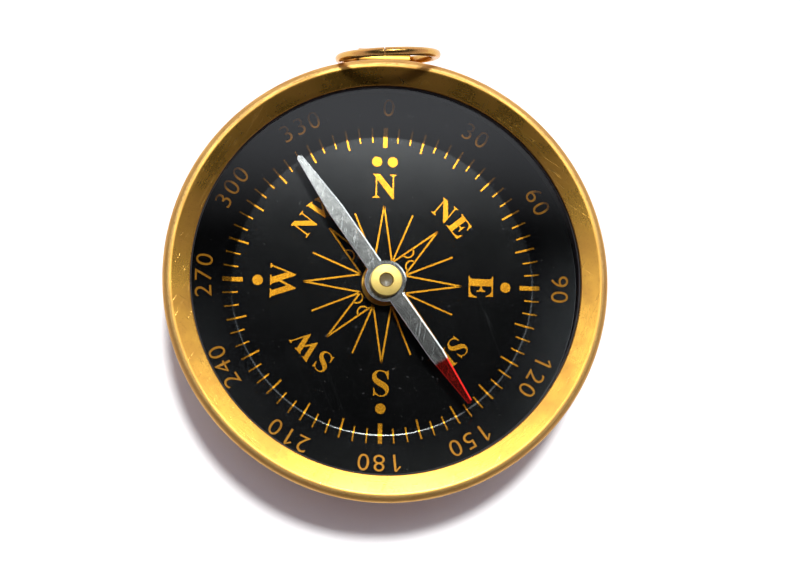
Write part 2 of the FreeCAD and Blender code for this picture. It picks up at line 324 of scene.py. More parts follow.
@dataclass(frozen=True)
class Brass:
    """Bare brass with its working marks, tarnish, specks and scratches."""

    name: str
    bright: Colour = (0.62, 0.325, 0.055)
    dull: Colour = (0.30, 0.145, 0.035)
    roughness: float = 0.28
    grain: Grain = Grain.TURNED
    grain_fineness: float = 7000.0
    tarnish: float = 0.5
    worn_radius: float = 0.0
    worn_colour: Colour = (0.95, 0.66, 0.24)
    worn_line: float = 0.16 * MM
    rubbed_reach: float = 0.5 * MM
    depth: float = 0.0035 * MM
    wear: float = 0.35
    patches: Cloud = Cloud(190.0, 4.0, (0.4, 0.7))
    mottle: Cloud = Cloud(1300.0, 3.0, (0.46, 0.74))
    specks: Cloud = Cloud(5200.0, 1.0, (0.66, 0.74))
    nicks: Cloud = Cloud(2400.0, 3.0, (0.3, 0.55))
    scratches: Scratch = Scratch(0.5, 2600.0, 0.01)
    cross_scratches: Scratch = Scratch(-0.9, 2100.0, 0.008)
    scuff_fineness: float = 16000.0
    scuff_edge: Span = (0.42, 0.62)

    def dress(self) -> bpy.types.Material:
        """Build the material.

        Returns:
            The material.
        """
        recipe = Recipe(self.name)
        grain = self._grain(recipe)
        patches = recipe.patches(self.patches)
        mottle = recipe.patches(self.mottle)
        specks = recipe.patches(self.specks)
        scratches = recipe.scratches(self.scratches) + recipe.scratches(self.cross_scratches)
        stain = (patches * 0.6 + mottle * 0.15 + grain * 0.15) * self.tarnish + specks * 0.35
        colour = recipe.blend(stain, self.bright, self.dull)
        colour = recipe.blend(scratches * self.wear, colour, self.worn_colour)
        roughness = self.roughness + stain * 0.16 + grain * 0.05 - scratches * 0.06
        if self.worn_radius:
            nicks = recipe.patches(self.nicks)
            worn = recipe.radius().line(self.worn_radius, self.worn_line) * nicks
            rubbed = recipe.radius().step(self.worn_radius - self.rubbed_reach, self.worn_radius)
            scuffs = recipe.rings(self.scuff_fineness).step(*self.scuff_edge)
            colour = recipe.blend(rubbed * 0.4, colour, self.worn_colour)
            colour = recipe.blend(rubbed * scuffs * 0.45, colour, self.dull)
            colour = recipe.blend(worn * 0.55, colour, self.worn_colour)
            roughness = roughness - worn * 0.06 + rubbed * scuffs * 0.12 + rubbed * 0.2
        height = grain * 0.5 + mottle * 0.25 - scratches * 0.8 - specks * 0.3
        return recipe.finish(recipe.principled(
            Base_Color=colour,
            Metallic=1.0,
            Roughness=roughness,
            Normal=recipe.bump(height, self.depth),
        ))

    def _grain(self, recipe: Recipe) -> Tone:
        """Lines left by the lathe, by the draw plate, or a plain cast skin.

        Args:
            recipe: the material under construction.

        Returns:
            Noise from 0 to 1.
        """
        if self.grain is Grain.TURNED:
            return recipe.rings(self.grain_fineness)
        if self.grain is Grain.DRAWN:
            return recipe.noise(recipe.placed(0.0, (0.3, 1.0, 0.3)), self.grain_fineness, 2.0)
        return recipe.noise(recipe.spot, self.grain_fineness, 4.0)


@dataclass(frozen=True)
class Enamel:
    """Glossy black enamel with a little dust and orange peel."""

    name: str = "dial_black_enamel"
    colour: Colour = (0.0009, 0.0009, 0.0010)
    dust: Colour = (0.16, 0.15, 0.13)
    specks: Cloud = Cloud(2600.0, 1.0, (0.77, 0.8))
    hairs: Scratch = Scratch(1.1, 1500.0, 0.006)
    cloud_fineness: float = 240.0
    peel_fineness: float = 260.0
    peel_depth: float = 0.0009 * MM

    def dress(self) -> bpy.types.Material:
        """Build the material.

        Returns:
            The material.
        """
        recipe = Recipe(self.name)
        specks = recipe.patches(self.specks)
        clouds = recipe.noise(recipe.spot, self.cloud_fineness, 3.0)
        peel = recipe.noise(recipe.spot, self.peel_fineness, 1.0)
        hairs = recipe.scratches(self.hairs)
        mark = specks * 0.12 + hairs * 0.02
        return recipe.finish(recipe.principled(
            Base_Color=recipe.blend(mark, self.colour, self.dust),
            Roughness=clouds * 0.05 + mark * 0.3 + 0.12,
            Normal=recipe.bump(peel, self.peel_depth),
        ))


@dataclass(frozen=True)
class GoldInk:
    """Metallic gold ink of the printed scale, with painted shade darkening it on the rising flange."""

    name: str = "scale_gold_ink"
    colour: Colour = (0.86, 0.37, 0.014)
    thin: Colour = (0.72, 0.29, 0.010)
    # Colour that the ink is darkened towards on the flange: painted shade.
    ground: Colour = (0.0, 0.0, 0.0)
    roughness: float = 0.22
    metallic: float = 0.8
    flange_radius: float = 17.5 * MM
    flange_fade: float = 0.1 * MM
    flange_loss: float = 0.5
    cover: Cloud = Cloud(700.0, 3.0, (0.3, 0.75))
    flake_fineness: float = 9000.0
    flake_depth: float = 0.002 * MM

    def dress(self) -> bpy.types.Material:
        """Build the material.

        Returns:
            The material.
        """
        recipe = Recipe(self.name)
        cover = recipe.patches(self.cover)
        flakes = recipe.noise(recipe.spot, self.flake_fineness, 1.0)
        ends = self.flange_radius - self.flange_fade, self.flange_radius + self.flange_fade
        # Painted shade: ink on the rising flange, which faces away from the light, is blended towards the
        # dark colour.
        flange = recipe.radius().step(*ends)
        colour = recipe.blend(cover, self.colour, self.thin)
        return recipe.finish(recipe.principled(
            Base_Color=recipe.blend(flange * self.flange_loss, colour, self.ground),
            Metallic=self.metallic,
            Roughness=flakes * 0.08 + self.roughness,
            Normal=recipe.bump(flakes, self.flake_depth),
        ))


@dataclass(frozen=True)
class Glass:
    """Clear pane with a soft mirror, dust and a few hair scratches."""

    name: str = "lens_clear_glass"
    tint: Colour = (0.965, 0.98, 0.975)
    dust: Colour = (0.55, 0.56, 0.56)
    index: float = 1.5
    gloss: float = 0.02
    mirror_gain: float = 1.9
    specks: Cloud = Cloud(1500.0, 1.0, (0.765, 0.79))
    film: Cloud = Cloud(90.0, 3.0, (0.35, 0.8))
    hairs: Scratch = Scratch(0.7, 420.0, 0.0035)
    cross_hairs: Scratch = Scratch(-0.4, 300.0, 0.003)

    def dress(self) -> bpy.types.Material:
        """Build the material.

        Returns:
            The material.
        """
        recipe = Recipe(self.name)
        clear = recipe.add("ShaderNodeBsdfTransparent", None, {0: opaque(self.tint)}).outputs[0]
        mirror = recipe.add("ShaderNodeBsdfAnisotropic", None, {"Roughness": self.gloss}).outputs[0]
        grey = recipe.add("ShaderNodeBsdfDiffuse", None, {0: opaque(self.dust)}).outputs[0]
        facing = recipe.add("ShaderNodeNewGeometry").outputs["Backfacing"]
        fresnel = Tone(recipe, recipe.add("ShaderNodeFresnel", None, {0: self.index}).outputs[0])
        shine = fresnel * self.mirror_gain * (1 - Tone(recipe, facing))
        pane = recipe.add("ShaderNodeMixShader", None, {0: shine, 1: clear, 2: mirror}).outputs[0]
        hairs = recipe.scratches(self.hairs) + recipe.scratches(self.cross_hairs)
        specks = recipe.patches(self.specks)
        film = recipe.patches(self.film)
        cover = hairs * 0.025 + specks * 0.04 + film * 0.0015
        return recipe.finish(
            recipe.add("ShaderNodeMixShader", None, {0: cover, 1: pane, 2: grey}).outputs[0]
        )


@dataclass(frozen=True)
class NeedleSteel:
    """Bright steel blade whose south end is dipped in clear red lacquer."""

    name: str = "needle_bright_steel"
    steel: Colour = (0.765, 0.75, 0.727)
    stained: Colour = (0.56, 0.52, 0.5)
    lacquer: Colour = (0.85, 0.03, 0.02)
    bearing: float = 0.0
    lacquer_from: float = 10.7 * MM
    lacquer_fade: float = 0.35 * MM
    lacquer_wobble: float = 0.5 * MM
    wobble_fineness: float = 900.0
    stains: Cloud = Cloud(1500.0, 4.0, (0.45, 0.75))
    scratches: Scratch = Scratch(0.2, 3000.0, 0.012)
    brush_fineness: float = 5200.0
    brush_depth: float = 0.0022 * MM

    def dress(self) -> bpy.types.Material:
        """Build the material.

        Returns:
            The material.
        """
        recipe = Recipe(self.name)
        _, along, _ = recipe.split(recipe.placed(self.bearing, (1.0, 1.0, 1.0)))
        wobble = recipe.noise(recipe.spot, self.wobble_fineness, 2.0) * self.lacquer_wobble
        dipped = (along + wobble).step(-self.lacquer_from, -self.lacquer_from - self.lacquer_fade)
        lengthwise = recipe.placed(self.bearing, (0.25, 1.0, 1.0))
        brushed = recipe.noise(lengthwise, self.brush_fineness, 3.0)
        stains = recipe.patches(self.stains)
        metal = recipe.blend(stains * 0.3, self.steel, self.stained)
        scratches = recipe.scratches(self.scratches)
        return recipe.finish(recipe.principled(
            Base_Color=recipe.blend(dipped, metal, self.lacquer),
            Metallic=1.0,
            Roughness=brushed * 0.04 + stains * 0.04 + 0.12,
            Normal=recipe.bump(brushed * (1 - dipped) + scratches, self.brush_depth),
        ))


@dataclass(frozen=True)
class Plain:
    """A simple opaque finish with a fine broken surface."""

    name: str
    colour: Colour
    second: Colour
    roughness: float
    metallic: float = 0.0
    fineness: float = 2500.0
    depth: float = 0.003 * MM

    def dress(self) -> bpy.types.Material:
        """Build the material.

        Returns:
            The material.
        """
        recipe = Recipe(self.name)
        skin = recipe.noise(recipe.spot, self.fineness, 3.0)
        clouds = recipe.patches(Cloud(self.fineness * 0.15, 3.0, (0.35, 0.7)))
        return recipe.finish(recipe.principled(
            Base_Color=recipe.blend(clouds, self.colour, self.second),
            Metallic=self.metallic,
            Roughness=skin * 0.12 + self.roughness,
            Normal=recipe.bump(skin, self.depth),
        ))


# ---------------------------------------------------------------- mesh making


@dataclass(frozen=True)
class Corner:
    """A corner of a turned section and the radius it is rounded to."""

    r: float
    z: float
    fillet: float = 0.0

    def at(self) -> Vector:
        """The corner in the XZ plane."""
        return Vector((self.r, 0.0, self.z))


def rounded(corners: Sequence[Corner], closed: bool) -> list[Vector]:
    """Points of a section with its corners rounded.

    Args:
        corners: the section's corners in order.
        closed: whether the last corner joins the first.

    Returns:
        Points in the XZ plane.
    """
    points: list[Vector] = []
    last = len(corners) - 1
    for index, corner in enumerate(corners):
        here = corner.at()
        if not corner.fillet or (not closed and index in (0, last)):
            points.append(here)
            continue
        back = (corners[index - 1].at() - here).normalized()
        ahead = (corners[(index + 1) % len(corners)].at() - here).normalized()
        half = back.angle(ahead) / 2
        reach = corner.fillet / math.tan(half)
        centre = here + (back + ahead).normalized() * corner.fillet / math.sin(half)
        start, end = here + back * reach - centre, here + ahead * reach - centre
        shares = [step / ROUND_STEPS for step in range(ROUND_STEPS + 1)]
        points.append(here + back * (reach + SUPPORT))
        points += [centre + start.slerp(end, share) * corner.fillet for share in shares]
        points.append(here + ahead * (reach + SUPPORT))
    return points


def arc_corners(centre: Corner, radius: float, start: float, end: float, steps: int) -> list[Corner]:
    """Corners along an arc of a section, its ends in radians from +X towards +Z."""
    angles = [start + (end - start) * i / steps for i in range(steps + 1)]
    return [Corner(centre.r + radius * math.cos(a), centre.z + radius * math.sin(a)) for a in angles]


def turned(corners: Sequence[Corner], steps: int = TURN_STEPS) -> bmesh.types.BMesh:
    """Spin a section about the upright axis.

    Args:
        corners: the section; it is left open where both its ends are on the axis.
        steps: number of faces round the turn.

    Returns:
        The closed mesh.
    """
    closed = bool(corners[0].r or corners[-1].r)
    bm = bmesh.new()
    verts = [bm.verts.new(point) for point in rounded(corners, closed)]
    ends = verts[1:] + verts[:1] if closed else verts[1:]
    edges = [bm.edges.new(pair) for pair in zip(verts, ends)]
    bmesh.ops.spin(
        bm, geom=[*verts, *edges], cent=(0, 0, 0), axis=(0, 0, 1), dvec=(0, 0, 0),
        angle=math.tau, steps=steps, use_merge=True,
    )
    return closed_up(bm)


def closed_up(bm: bmesh.types.BMesh) -> bmesh.types.BMesh:
    """Weld a mesh's doubles and turn its faces outwards.

    Args:
        bm: the mesh.

    Returns:
        The same mesh.
    """
    bmesh.ops.remove_doubles(bm, verts=bm.verts[:], dist=WELD)
    bmesh.ops.recalc_face_normals(bm, faces=bm.faces[:])
    return bm


def bevelled(
    bm: bmesh.types.BMesh, edges: Iterable[bmesh.types.BMEdge], width: float, segments: int
) -> None:
    """Round some edges of a mesh.

    Args:
        bm: the mesh.
        edges: the edges to round.
        width: how far the rounding reaches.
        segments: faces across it.
    """
    bmesh.ops.bevel(
        bm, geom=list(edges), offset=width, offset_type="OFFSET", segments=segments,
        profile=0.5, affect="EDGES", material=-1,
    )


def make_piece(
    name: str, bm: bmesh.types.BMesh, material: bpy.types.Material, sharp: float = SHARP_ANGLE
) -> bpy.types.Object:
    """Object at the origin from a finished mesh.

    Args:
        name: the piece's name.
        bm: its mesh in place, freed afterwards.
        material: its finish.
        sharp: angle above which an edge is shaded sharp.

    Returns:
        The new object.
    """
    mesh = bpy.data.meshes.new(name)
    bm.to_mesh(mesh)
    bm.free()
    mesh.shade_smooth()
    mesh.set_sharp_from_angle(angle=sharp)
    mesh.materials.append(material)
    piece = bpy.data.objects.new(name, mesh)
    bpy.context.scene.collection.objects.link(piece)
    return piece


def hand_over(piece: bpy.types.Object, body: Body, slot: Slot, *nodes: str) -> None:
    """Put a piece on its body and hide the CAD nodes it stands for.

    Args:
        piece: the finished object.
        body: the body it rides on.
        slot: not used.
        nodes: CAD nodes that it replaces.
    """
    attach(piece, body.value)
    if nodes:
        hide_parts(*nodes)
    LOG.info("%s rides on %s, %d faces", piece.name, body.value, len(piece.data.polygons))


def dress_node(node: str, material: bpy.types.Material) -> None:
    """Give a CAD node that is shown as it is a better material.

    Args:
        node: the CAD node's name.
        material: its new finish.
    """
    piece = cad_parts[node]
    for material_slot in piece.material_slots:
        material_slot.material = material
    LOG.info("%s keeps its CAD shape", node)


# ------------------------------------------------------------- case and bezel


@dataclass
class Case:
    """Drawn cup with the strap lug on its north side."""

    wall: float = 0.5 * MM
    corner_radius: float = 2.0 * MM
    rim_fillet: float = 0.1 * MM
    foot_gap: float = 0.02 * MM
    foot_thickness: float = 0.5 * MM
    foot_height: float = 4.6 * MM
    foot_corner: float = 1.2 * MM
    foot_cuts: int = 14
    eye_height: float = 2.3 * MM
    eye_bore: float = 1.089 * MM
    eye_wall: float = 0.4 * MM
    eye_width: float = 6.0 * MM
    web_root: float = 0.175 * MM
    web_half_height: float = 1.05 * MM
    web_reach: float = 1.0 * MM
    web_middle_reach: float = 1.22 * MM
    edge_break: float = 0.09 * MM
    brass: Brass = field(default_factory=lambda: Brass("case_spun_brass", tarnish=0.6, roughness=0.25))
    lug_brass: Brass = field(default_factory=lambda: Brass(
        "lug_brass", grain=Grain.CAST, grain_fineness=2500.0, tarnish=0.55,
    ))

    def build(self) -> None:
        """Make the cup and the lug."""
        brass = self.brass.dress()
        hand_over(make_piece("cup_shell", self._cup(), brass), Body.CASE, Slot.CASE_BRASS, "case_cup")
        lug = make_piece("strap_lug", self._lug(), self.lug_brass.dress())
        hand_over(lug, Body.CASE, Slot.CASE_BRASS, "bow_lug")

    def _cup(self) -> bmesh.types.BMesh:
        """Flat floor, rounded corner and straight wall.

        Returns:
            The cup's mesh.
        """
        low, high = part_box("case_cup")
        outer, inner = high.x, high.x - self.wall
        return turned([
            Corner(0, low.z),
            Corner(outer, low.z, self.corner_radius),
            Corner(outer, high.z, self.rim_fillet),
            Corner(inner, high.z, self.rim_fillet),
            Corner(inner, low.z + self.wall, self.corner_radius - self.wall),
            Corner(0, low.z + self.wall),
        ])

    def _lug(self) -> bmesh.types.BMesh:
        """Curved foot, eye and the web between them.

        Returns:
            The lug's mesh.
        """
        low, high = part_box("bow_lug")
        _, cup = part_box("case_cup")
        back = cup.x + self.foot_gap
        foot_top = low.z + self.foot_height
        eye_z = low.z + self.eye_height
        eye_outer = self.eye_bore + self.eye_wall
        eye_y = high.y - eye_outer
        bm = self._foot(low, high, back, foot_top)
        self._add_eye(bm, eye_y, eye_z, eye_outer)
        self._add_web(bm, back, eye_y, eye_z)
        return closed_up(bm)

    def _foot(self, low: Vector, high: Vector, back: float, top: float) -> bmesh.types.BMesh:
        """Rounded plate bent to the cup's wall.

        Args:
            low: lowest corner of the lug.
            high: highest corner of the lug.
            back: radius of the foot's back.
            top: height of the foot's top edge.

        Returns:
            The bent plate.
        """
        bm = bmesh.new()
        width, height = high.x - low.x, top - low.z
        size = Matrix.Diagonal((width, self.foot_thickness, height, 1))
        middle = Matrix.Translation((0, back + self.foot_thickness / 2, low.z + height / 2))
        bmesh.ops.create_cube(bm, size=1.0, matrix=middle @ size)
        across = [e for e in bm.edges if abs(e.verts[0].co.y - e.verts[1].co.y) > WELD]
        bevelled(bm, across, self.foot_corner, ROUND_STEPS)
        rims = [e for e in bm.edges if len(e.link_faces) == 2 and e.calc_face_angle() > SHARP_ANGLE]
        bevelled(bm, rims, self.edge_break, BREAK_STEPS)
        for cut in range(1, self.foot_cuts):
            x = width * (cut / self.foot_cuts - 0.5)
            everything = [*bm.verts, *bm.edges, *bm.faces]
            bmesh.ops.bisect_plane(bm, geom=everything, plane_co=(x, 0, 0), plane_no=(1, 0, 0))
        for vert in bm.verts:
            radius, angle = vert.co.y, vert.co.x / (back + self.foot_thickness)
            vert.co.x, vert.co.y = radius * math.sin(angle), radius * math.cos(angle)
        return bm

    def _add_eye(self, bm: bmesh.types.BMesh, y: float, z: float, outer: float) -> None:
        """Short tube across the north side, its edges rounded.

        Args:
            bm: the mesh that the tube joins.
            y: the tube's axis, northwards.
            z: the tube's height.
            outer: its outer radius.
        """
        half = self.eye_width / 2
        tube = turned([
            Corner(outer, -half, self.edge_break), Corner(outer, half, self.edge_break),
            Corner(self.eye_bore, half, self.edge_break), Corner(self.eye_bore, -half, self.edge_break),
        ], TUBE_STEPS)
        along_x = Matrix.Translation((0, y, z)) @ Matrix.Rotation(math.pi / 2, 4, "Y")
        bmesh.ops.transform(tube, matrix=along_x, verts=tube.verts[:])
        joined = bpy.data.meshes.new("eye")
        tube.to_mesh(joined)
        tube.free()
        bm.from_mesh(joined)
        bpy.data.meshes.remove(joined)

    def _add_web(self, bm: bmesh.types.BMesh, back: float, y: float, z: float) -> None:
        """Solid web between the foot and the eye.

        Args:
            bm: the mesh that the web joins.
            back: radius of the foot's back.
            y: the eye's axis, northwards.
            z: the eye's height.
        """
        half, tall = self.eye_width / 2 - self.edge_break, self.web_half_height
        start, end, middle = back + self.web_root, y - self.web_reach, y - self.web_middle_reach
        section = [
            (start, z - tall), (end, z - tall), (middle, z), (end, z + tall), (start, z + tall),
        ]
        corners = [bm.verts.new((-half, *point)) for point in section]
        face = bm.faces.new(corners)
        grown = bmesh.ops.extrude_face_region(bm, geom=[face])["geom"]
        moved = [item for item in grown if isinstance(item, bmesh.types.BMVert)]
        bmesh.ops.translate(bm, verts=moved, vec=(2 * half, 0, 0))


@dataclass
class Bezel:
    """Pressed bezel with the glass, its gasket and the spacer behind it."""

    roll: Corner = Corner(24.5 * MM, 11.92 * MM)
    roll_radius: float = 0.5 * MM
    crown_radius: float = 1.1 * MM
    seat_angle: float = math.radians(-44.9)
    shoulder_angle: float = math.radians(60.0)
    band_angle: float = math.radians(106.0)
    roll_steps: int = 18
    opening: float = 22.0 * MM
    land: float = 22.6 * MM
    lip_top: float = 11.913 * MM
    shoulder_slope: float = math.radians(12.0)
    skirt_outer: float = 24.75 * MM
    skirt_inner: float = 24.37 * MM
    edge: float = 0.1 * MM
    glass_edge: float = 0.12 * MM
    gasket_reach: float = 0.15 * MM
    gasket_edge: float = 0.05 * MM
    spacer_gap: float = 0.42 * MM
    spacer_sheet: float = 0.4 * MM
    spacer_edge: float = 0.08 * MM
    brass: Brass = field(default_factory=lambda: Brass(
        "bezel_worn_brass", bright=(0.68, 0.365, 0.058), dull=(0.36, 0.155, 0.04), roughness=0.22,
        tarnish=0.7, wear=0.2, worn_radius=24.4 * MM, grain_fineness=5200.0,
    ))
    glass: Glass = field(default_factory=Glass)
    gasket: Plain = field(default_factory=lambda: Plain(
        "gasket_black_rubber", (0.012, 0.012, 0.012), (0.022, 0.021, 0.02), 0.6,
    ))
    blackened: Plain = field(default_factory=lambda: Plain(
        "spacer_black_lacquer", (0.008, 0.008, 0.009), (0.016, 0.015, 0.014), 0.42,
    ))

    def build(self) -> None:
        """Make the bezel, gasket, glass and spacer."""
        parts = (
            ("bezel_pressing", self._pressing(), self.brass, Slot.BEZEL_BRASS, "bezel_ring"),
            ("glass_pane", self._pane(), self.glass, Slot.LENS_GLASS, "lens_glass"),
            ("gasket_ring", self._gasket(), self.gasket, Slot.GASKET_BLACK, "lens_gasket"),
            ("spacer_channel", self._spacer(), self.blackened, Slot.BLACKENED_BRASS, "lens_spacer"),
        )
        for name, mesh, finish, slot, node in parts:
            hand_over(make_piece(name, mesh, finish.dress()), Body.CASE, slot, node)

    def _pressing(self) -> bmesh.types.BMesh:
        """Outer curl, rounded crown, sloping band, lip and skirt.

        Returns:
            The bezel's mesh.
        """
        low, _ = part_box("bezel_ring")
        _, gasket_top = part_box("lens_gasket")
        lip = gasket_top.z
        shoulder = lip + (self.skirt_inner - self.land) * math.tan(self.shoulder_slope)
        turn = self.shoulder_angle
        curl = arc_corners(self.roll, self.roll_radius, self.seat_angle, turn, self.roll_steps)
        rise = self.roll_radius - self.crown_radius
        middle = Corner(self.roll.r + rise * math.cos(turn), self.roll.z + rise * math.sin(turn))
        crown = arc_corners(middle, self.crown_radius, turn, self.band_angle, self.roll_steps)
        return turned([
            Corner(self.skirt_outer, curl[0].z),
            *curl,
            *crown[1:],
            Corner(self.opening, self.lip_top, self.edge),
            Corner(self.opening, lip, self.edge),
            Corner(self.land, lip),
            Corner(self.skirt_inner, shoulder, self.edge),
            Corner(self.skirt_inner, low.z, self.edge),
            Corner(self.skirt_outer, low.z, self.edge),
        ])

    def _pane(self) -> bmesh.types.BMesh:
        """Flat glass disc with its edges ground round.

        Returns:
            The glass's mesh.
        """
        low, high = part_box("lens_glass")
        return turned([
            Corner(0, low.z), Corner(high.x, low.z, self.glass_edge),
            Corner(high.x, high.z, self.glass_edge), Corner(0, high.z),
        ])

    def _gasket(self) -> bmesh.types.BMesh:
        """Thin ring under the lip, its inner edge rounded.

        Returns:
            The gasket's mesh.
        """
        low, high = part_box("lens_gasket")
        bore = self.opening - self.gasket_reach
        return turned([
            Corner(bore, low.z, self.gasket_edge), Corner(high.x, low.z),
            Corner(high.x, high.z), Corner(bore, high.z, self.gasket_edge),
        ])

    def _spacer(self) -> bmesh.types.BMesh:
        """Channel ring that holds the glass off the dial.

        Returns:
            The spacer's mesh.
        """
        low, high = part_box("lens_spacer")
        well = self.opening + self.spacer_gap
        web, sheet = well + self.spacer_sheet, self.spacer_sheet
        return turned([
            Corner(well, low.z), Corner(high.x, low.z), Corner(high.x, low.z + sheet),
            Corner(web, low.z + sheet), Corner(web, high.z - sheet),
            Corner(high.x, high.z - sheet), Corner(high.x, high.z), Corner(well, high.z, self.spacer_edge),
        ])


# ----------------------------------------------------------------------- dial


@dataclass
class DialFace:
    """Shape of the dished dial: its height at any radius."""

    bore: float = 1.02 * MM
    crease: float = 17.5 * MM
    blend: float = 0.16 * MM
    crease_steps: int = 4
    well: float = 22.42 * MM
    sheet: float = 0.4 * MM
    flat: float = 0.0
    rim: float = 0.0
    outer: float = 0.0

    def __post_init__(self) -> None:
        """Read the heights of the CAD dial."""
        low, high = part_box("dial_plate")
        self.flat, self.rim, self.outer = low.z + self.sheet, high.z, high.x

    def slope(self) -> float:
        """Rise of the flange for each metre outwards."""
        return (self.rim - self.flat) / (self.well - self.crease)

    def height(self, radius: float) -> float:
        """Height of the dial's face.

        Args:
            radius: distance from the dial's centre.

        Returns:
            Height in metres.
        """
        past = radius - self.crease
        if past <= -self.blend:
            return self.flat
        if past >= self.blend:
            return self.flat + min(past, self.well - self.crease) * self.slope()
        return self.flat + self.slope() * (past + self.blend) ** 2 / (4 * self.blend)

    def crease_radii(self) -> list[float]:
        """Radii of the rows that carry the soft crease."""
        steps = self.crease_steps
        return [self.crease + self.blend * (i / steps - 1) for i in range(2 * steps + 1)]


class Stencil:
    """Flat marks drawn on a plane, then laid on the dial as thin print."""

    def __init__(self) -> None:
        """Start with no marks."""
        self.bm = bmesh.new()

    def _place(self, verts: Iterable[bmesh.types.BMVert], azimuth: float) -> None:
        """Turn marks from north to an azimuth, clockwise."""
        turn = Matrix.Rotation(-azimuth, 3, "Z")
        bmesh.ops.rotate(self.bm, verts=list(verts), cent=(0, 0, 0), matrix=turn)

    def bar(self, start: Vector, end: Vector, width: float) -> list[bmesh.types.BMVert]:
        """Straight bar between two points.

        Args:
            start: middle of one end.
            end: middle of the other.
            width: width of the bar.

        Returns:
            The bar's corners.
        """
        run = end - start
        turn = Matrix.Rotation(math.atan2(-run.x, run.y), 4, "Z")
        size = Matrix.Diagonal((width, run.length, 1, 1))
        place = Matrix.Translation((start + end) / 2) @ turn @ size
        made = bmesh.ops.create_grid(self.bm, x_segments=1, y_segments=1, size=0.5, matrix=place)
        return made["verts"]

    def tick(self, inner: float, outer: float, width: float, azimuth: float, cuts: Sequence[float]) -> None:
        """Scale mark along a radius, cut where the dial bends.

        Args:
            inner: radius of its inner end.
            outer: radius of its outer end.
            width: its width.
            azimuth: its direction, clockwise from north.
            cuts: radii at which it may bend.
        """
        verts = self.bar(Vector((0, inner, 0)), Vector((0, outer, 0)), width)
        edges, faces = {e for v in verts for e in v.link_edges}, {f for v in verts for f in v.link_faces}
        geom = [*verts, *edges, *faces]
        for radius in cuts:
            cut = bmesh.ops.bisect_plane(self.bm, geom=geom, plane_co=(0, radius, 0), plane_no=(0, 1, 0))
            geom = cut["geom"]
        self._place([item for item in geom if isinstance(item, bmesh.types.BMVert)], azimuth)

    def dot(self, x: float, y: float, radius: float, azimuth: float) -> None:
        """Round dot.

        Args:
            x: its middle, clockwise of the azimuth.
            y: its middle, outwards.
            radius: its radius.
            azimuth: direction of the mark.
        """
        spot = Matrix.Translation((x, y, 0))
        made = bmesh.ops.create_circle(
            self.bm, cap_ends=True, segments=WIRE_STEPS, radius=radius, matrix=spot,
        )
        self._place(made["verts"], azimuth)

    def half_ring(self, centre: Vector, start: Vector, width: float, turn: float) -> None:
        """Half a ring swept from one point round a centre.

        Args:
            centre: middle of the ring.
            start: from the centre to the middle of its first end.
            width: width of the stroke.
            turn: angle swept, signed.
        """
        side = start.normalized() * width / 2
        ends = [self.bm.verts.new(centre + start - side), self.bm.verts.new(centre + start + side)]
        edge = self.bm.edges.new(ends)
        bmesh.ops.spin(
            self.bm, geom=[*ends, edge], cent=centre, axis=(0, 0, 1), dvec=(0, 0, 0),
            angle=turn, steps=WIRE_STEPS // 2, use_merge=False,
        )

    def outline(self, points: Sequence[Sequence[float]], place: Matrix) -> None:
        """Filled shape from its corners in order, moved to its place."""
        verts = [self.bm.verts.new(place @ Vector((x, y, 0))) for x, y in points]
        self.bm.faces.new(verts)

    def curve(self, data: bpy.types.Curve, place: Matrix) -> None:
        """Add a flat curve or text as a mesh.

        Args:
            data: the curve, removed afterwards.
            place: where it goes.
        """
        holder = bpy.data.objects.new("mark", data)
        mesh = bpy.data.meshes.new_from_object(holder)
        mesh.transform(place)
        self.bm.from_mesh(mesh)
        bpy.data.objects.remove(holder)
        bpy.data.meshes.remove(mesh)
        bpy.data.curves.remove(data)

    def place(self, angle: float, shift: Vector) -> None:
        """Turn everything drawn so far clockwise and move it."""
        self._place(self.bm.verts, angle)
        bmesh.ops.translate(self.bm, verts=self.bm.verts[:], vec=shift)

    def laid(self, face: DialFace, thickness: float) -> bmesh.types.BMesh:
        """Lay all marks on the dial.

        Args:
            face: the dial's shape.
            thickness: thickness of the ink.

        Returns:
            The mesh of all marks.
        """
        bm = self.bm
        bmesh.ops.remove_doubles(bm, verts=bm.verts[:], dist=WELD)
        grown = bmesh.ops.extrude_face_region(bm, geom=bm.faces[:])["geom"]
        tops = {item for item in grown if isinstance(item, bmesh.types.BMVert)}
        for vert in bm.verts:
            radius = math.hypot(vert.co.x, vert.co.y)
            vert.co.z = face.height(radius) + (thickness if vert in tops else 0.0)
        bmesh.ops.recalc_face_normals(bm, faces=bm.faces[:])
        return bm


# Half loops of the rose: millimetres from each inner corner, clockwise from north.
LOOP_PLACES = (2.25, 1.36, 2.27, 1.43, 1.43, 0.75, 2.6, 1.5)
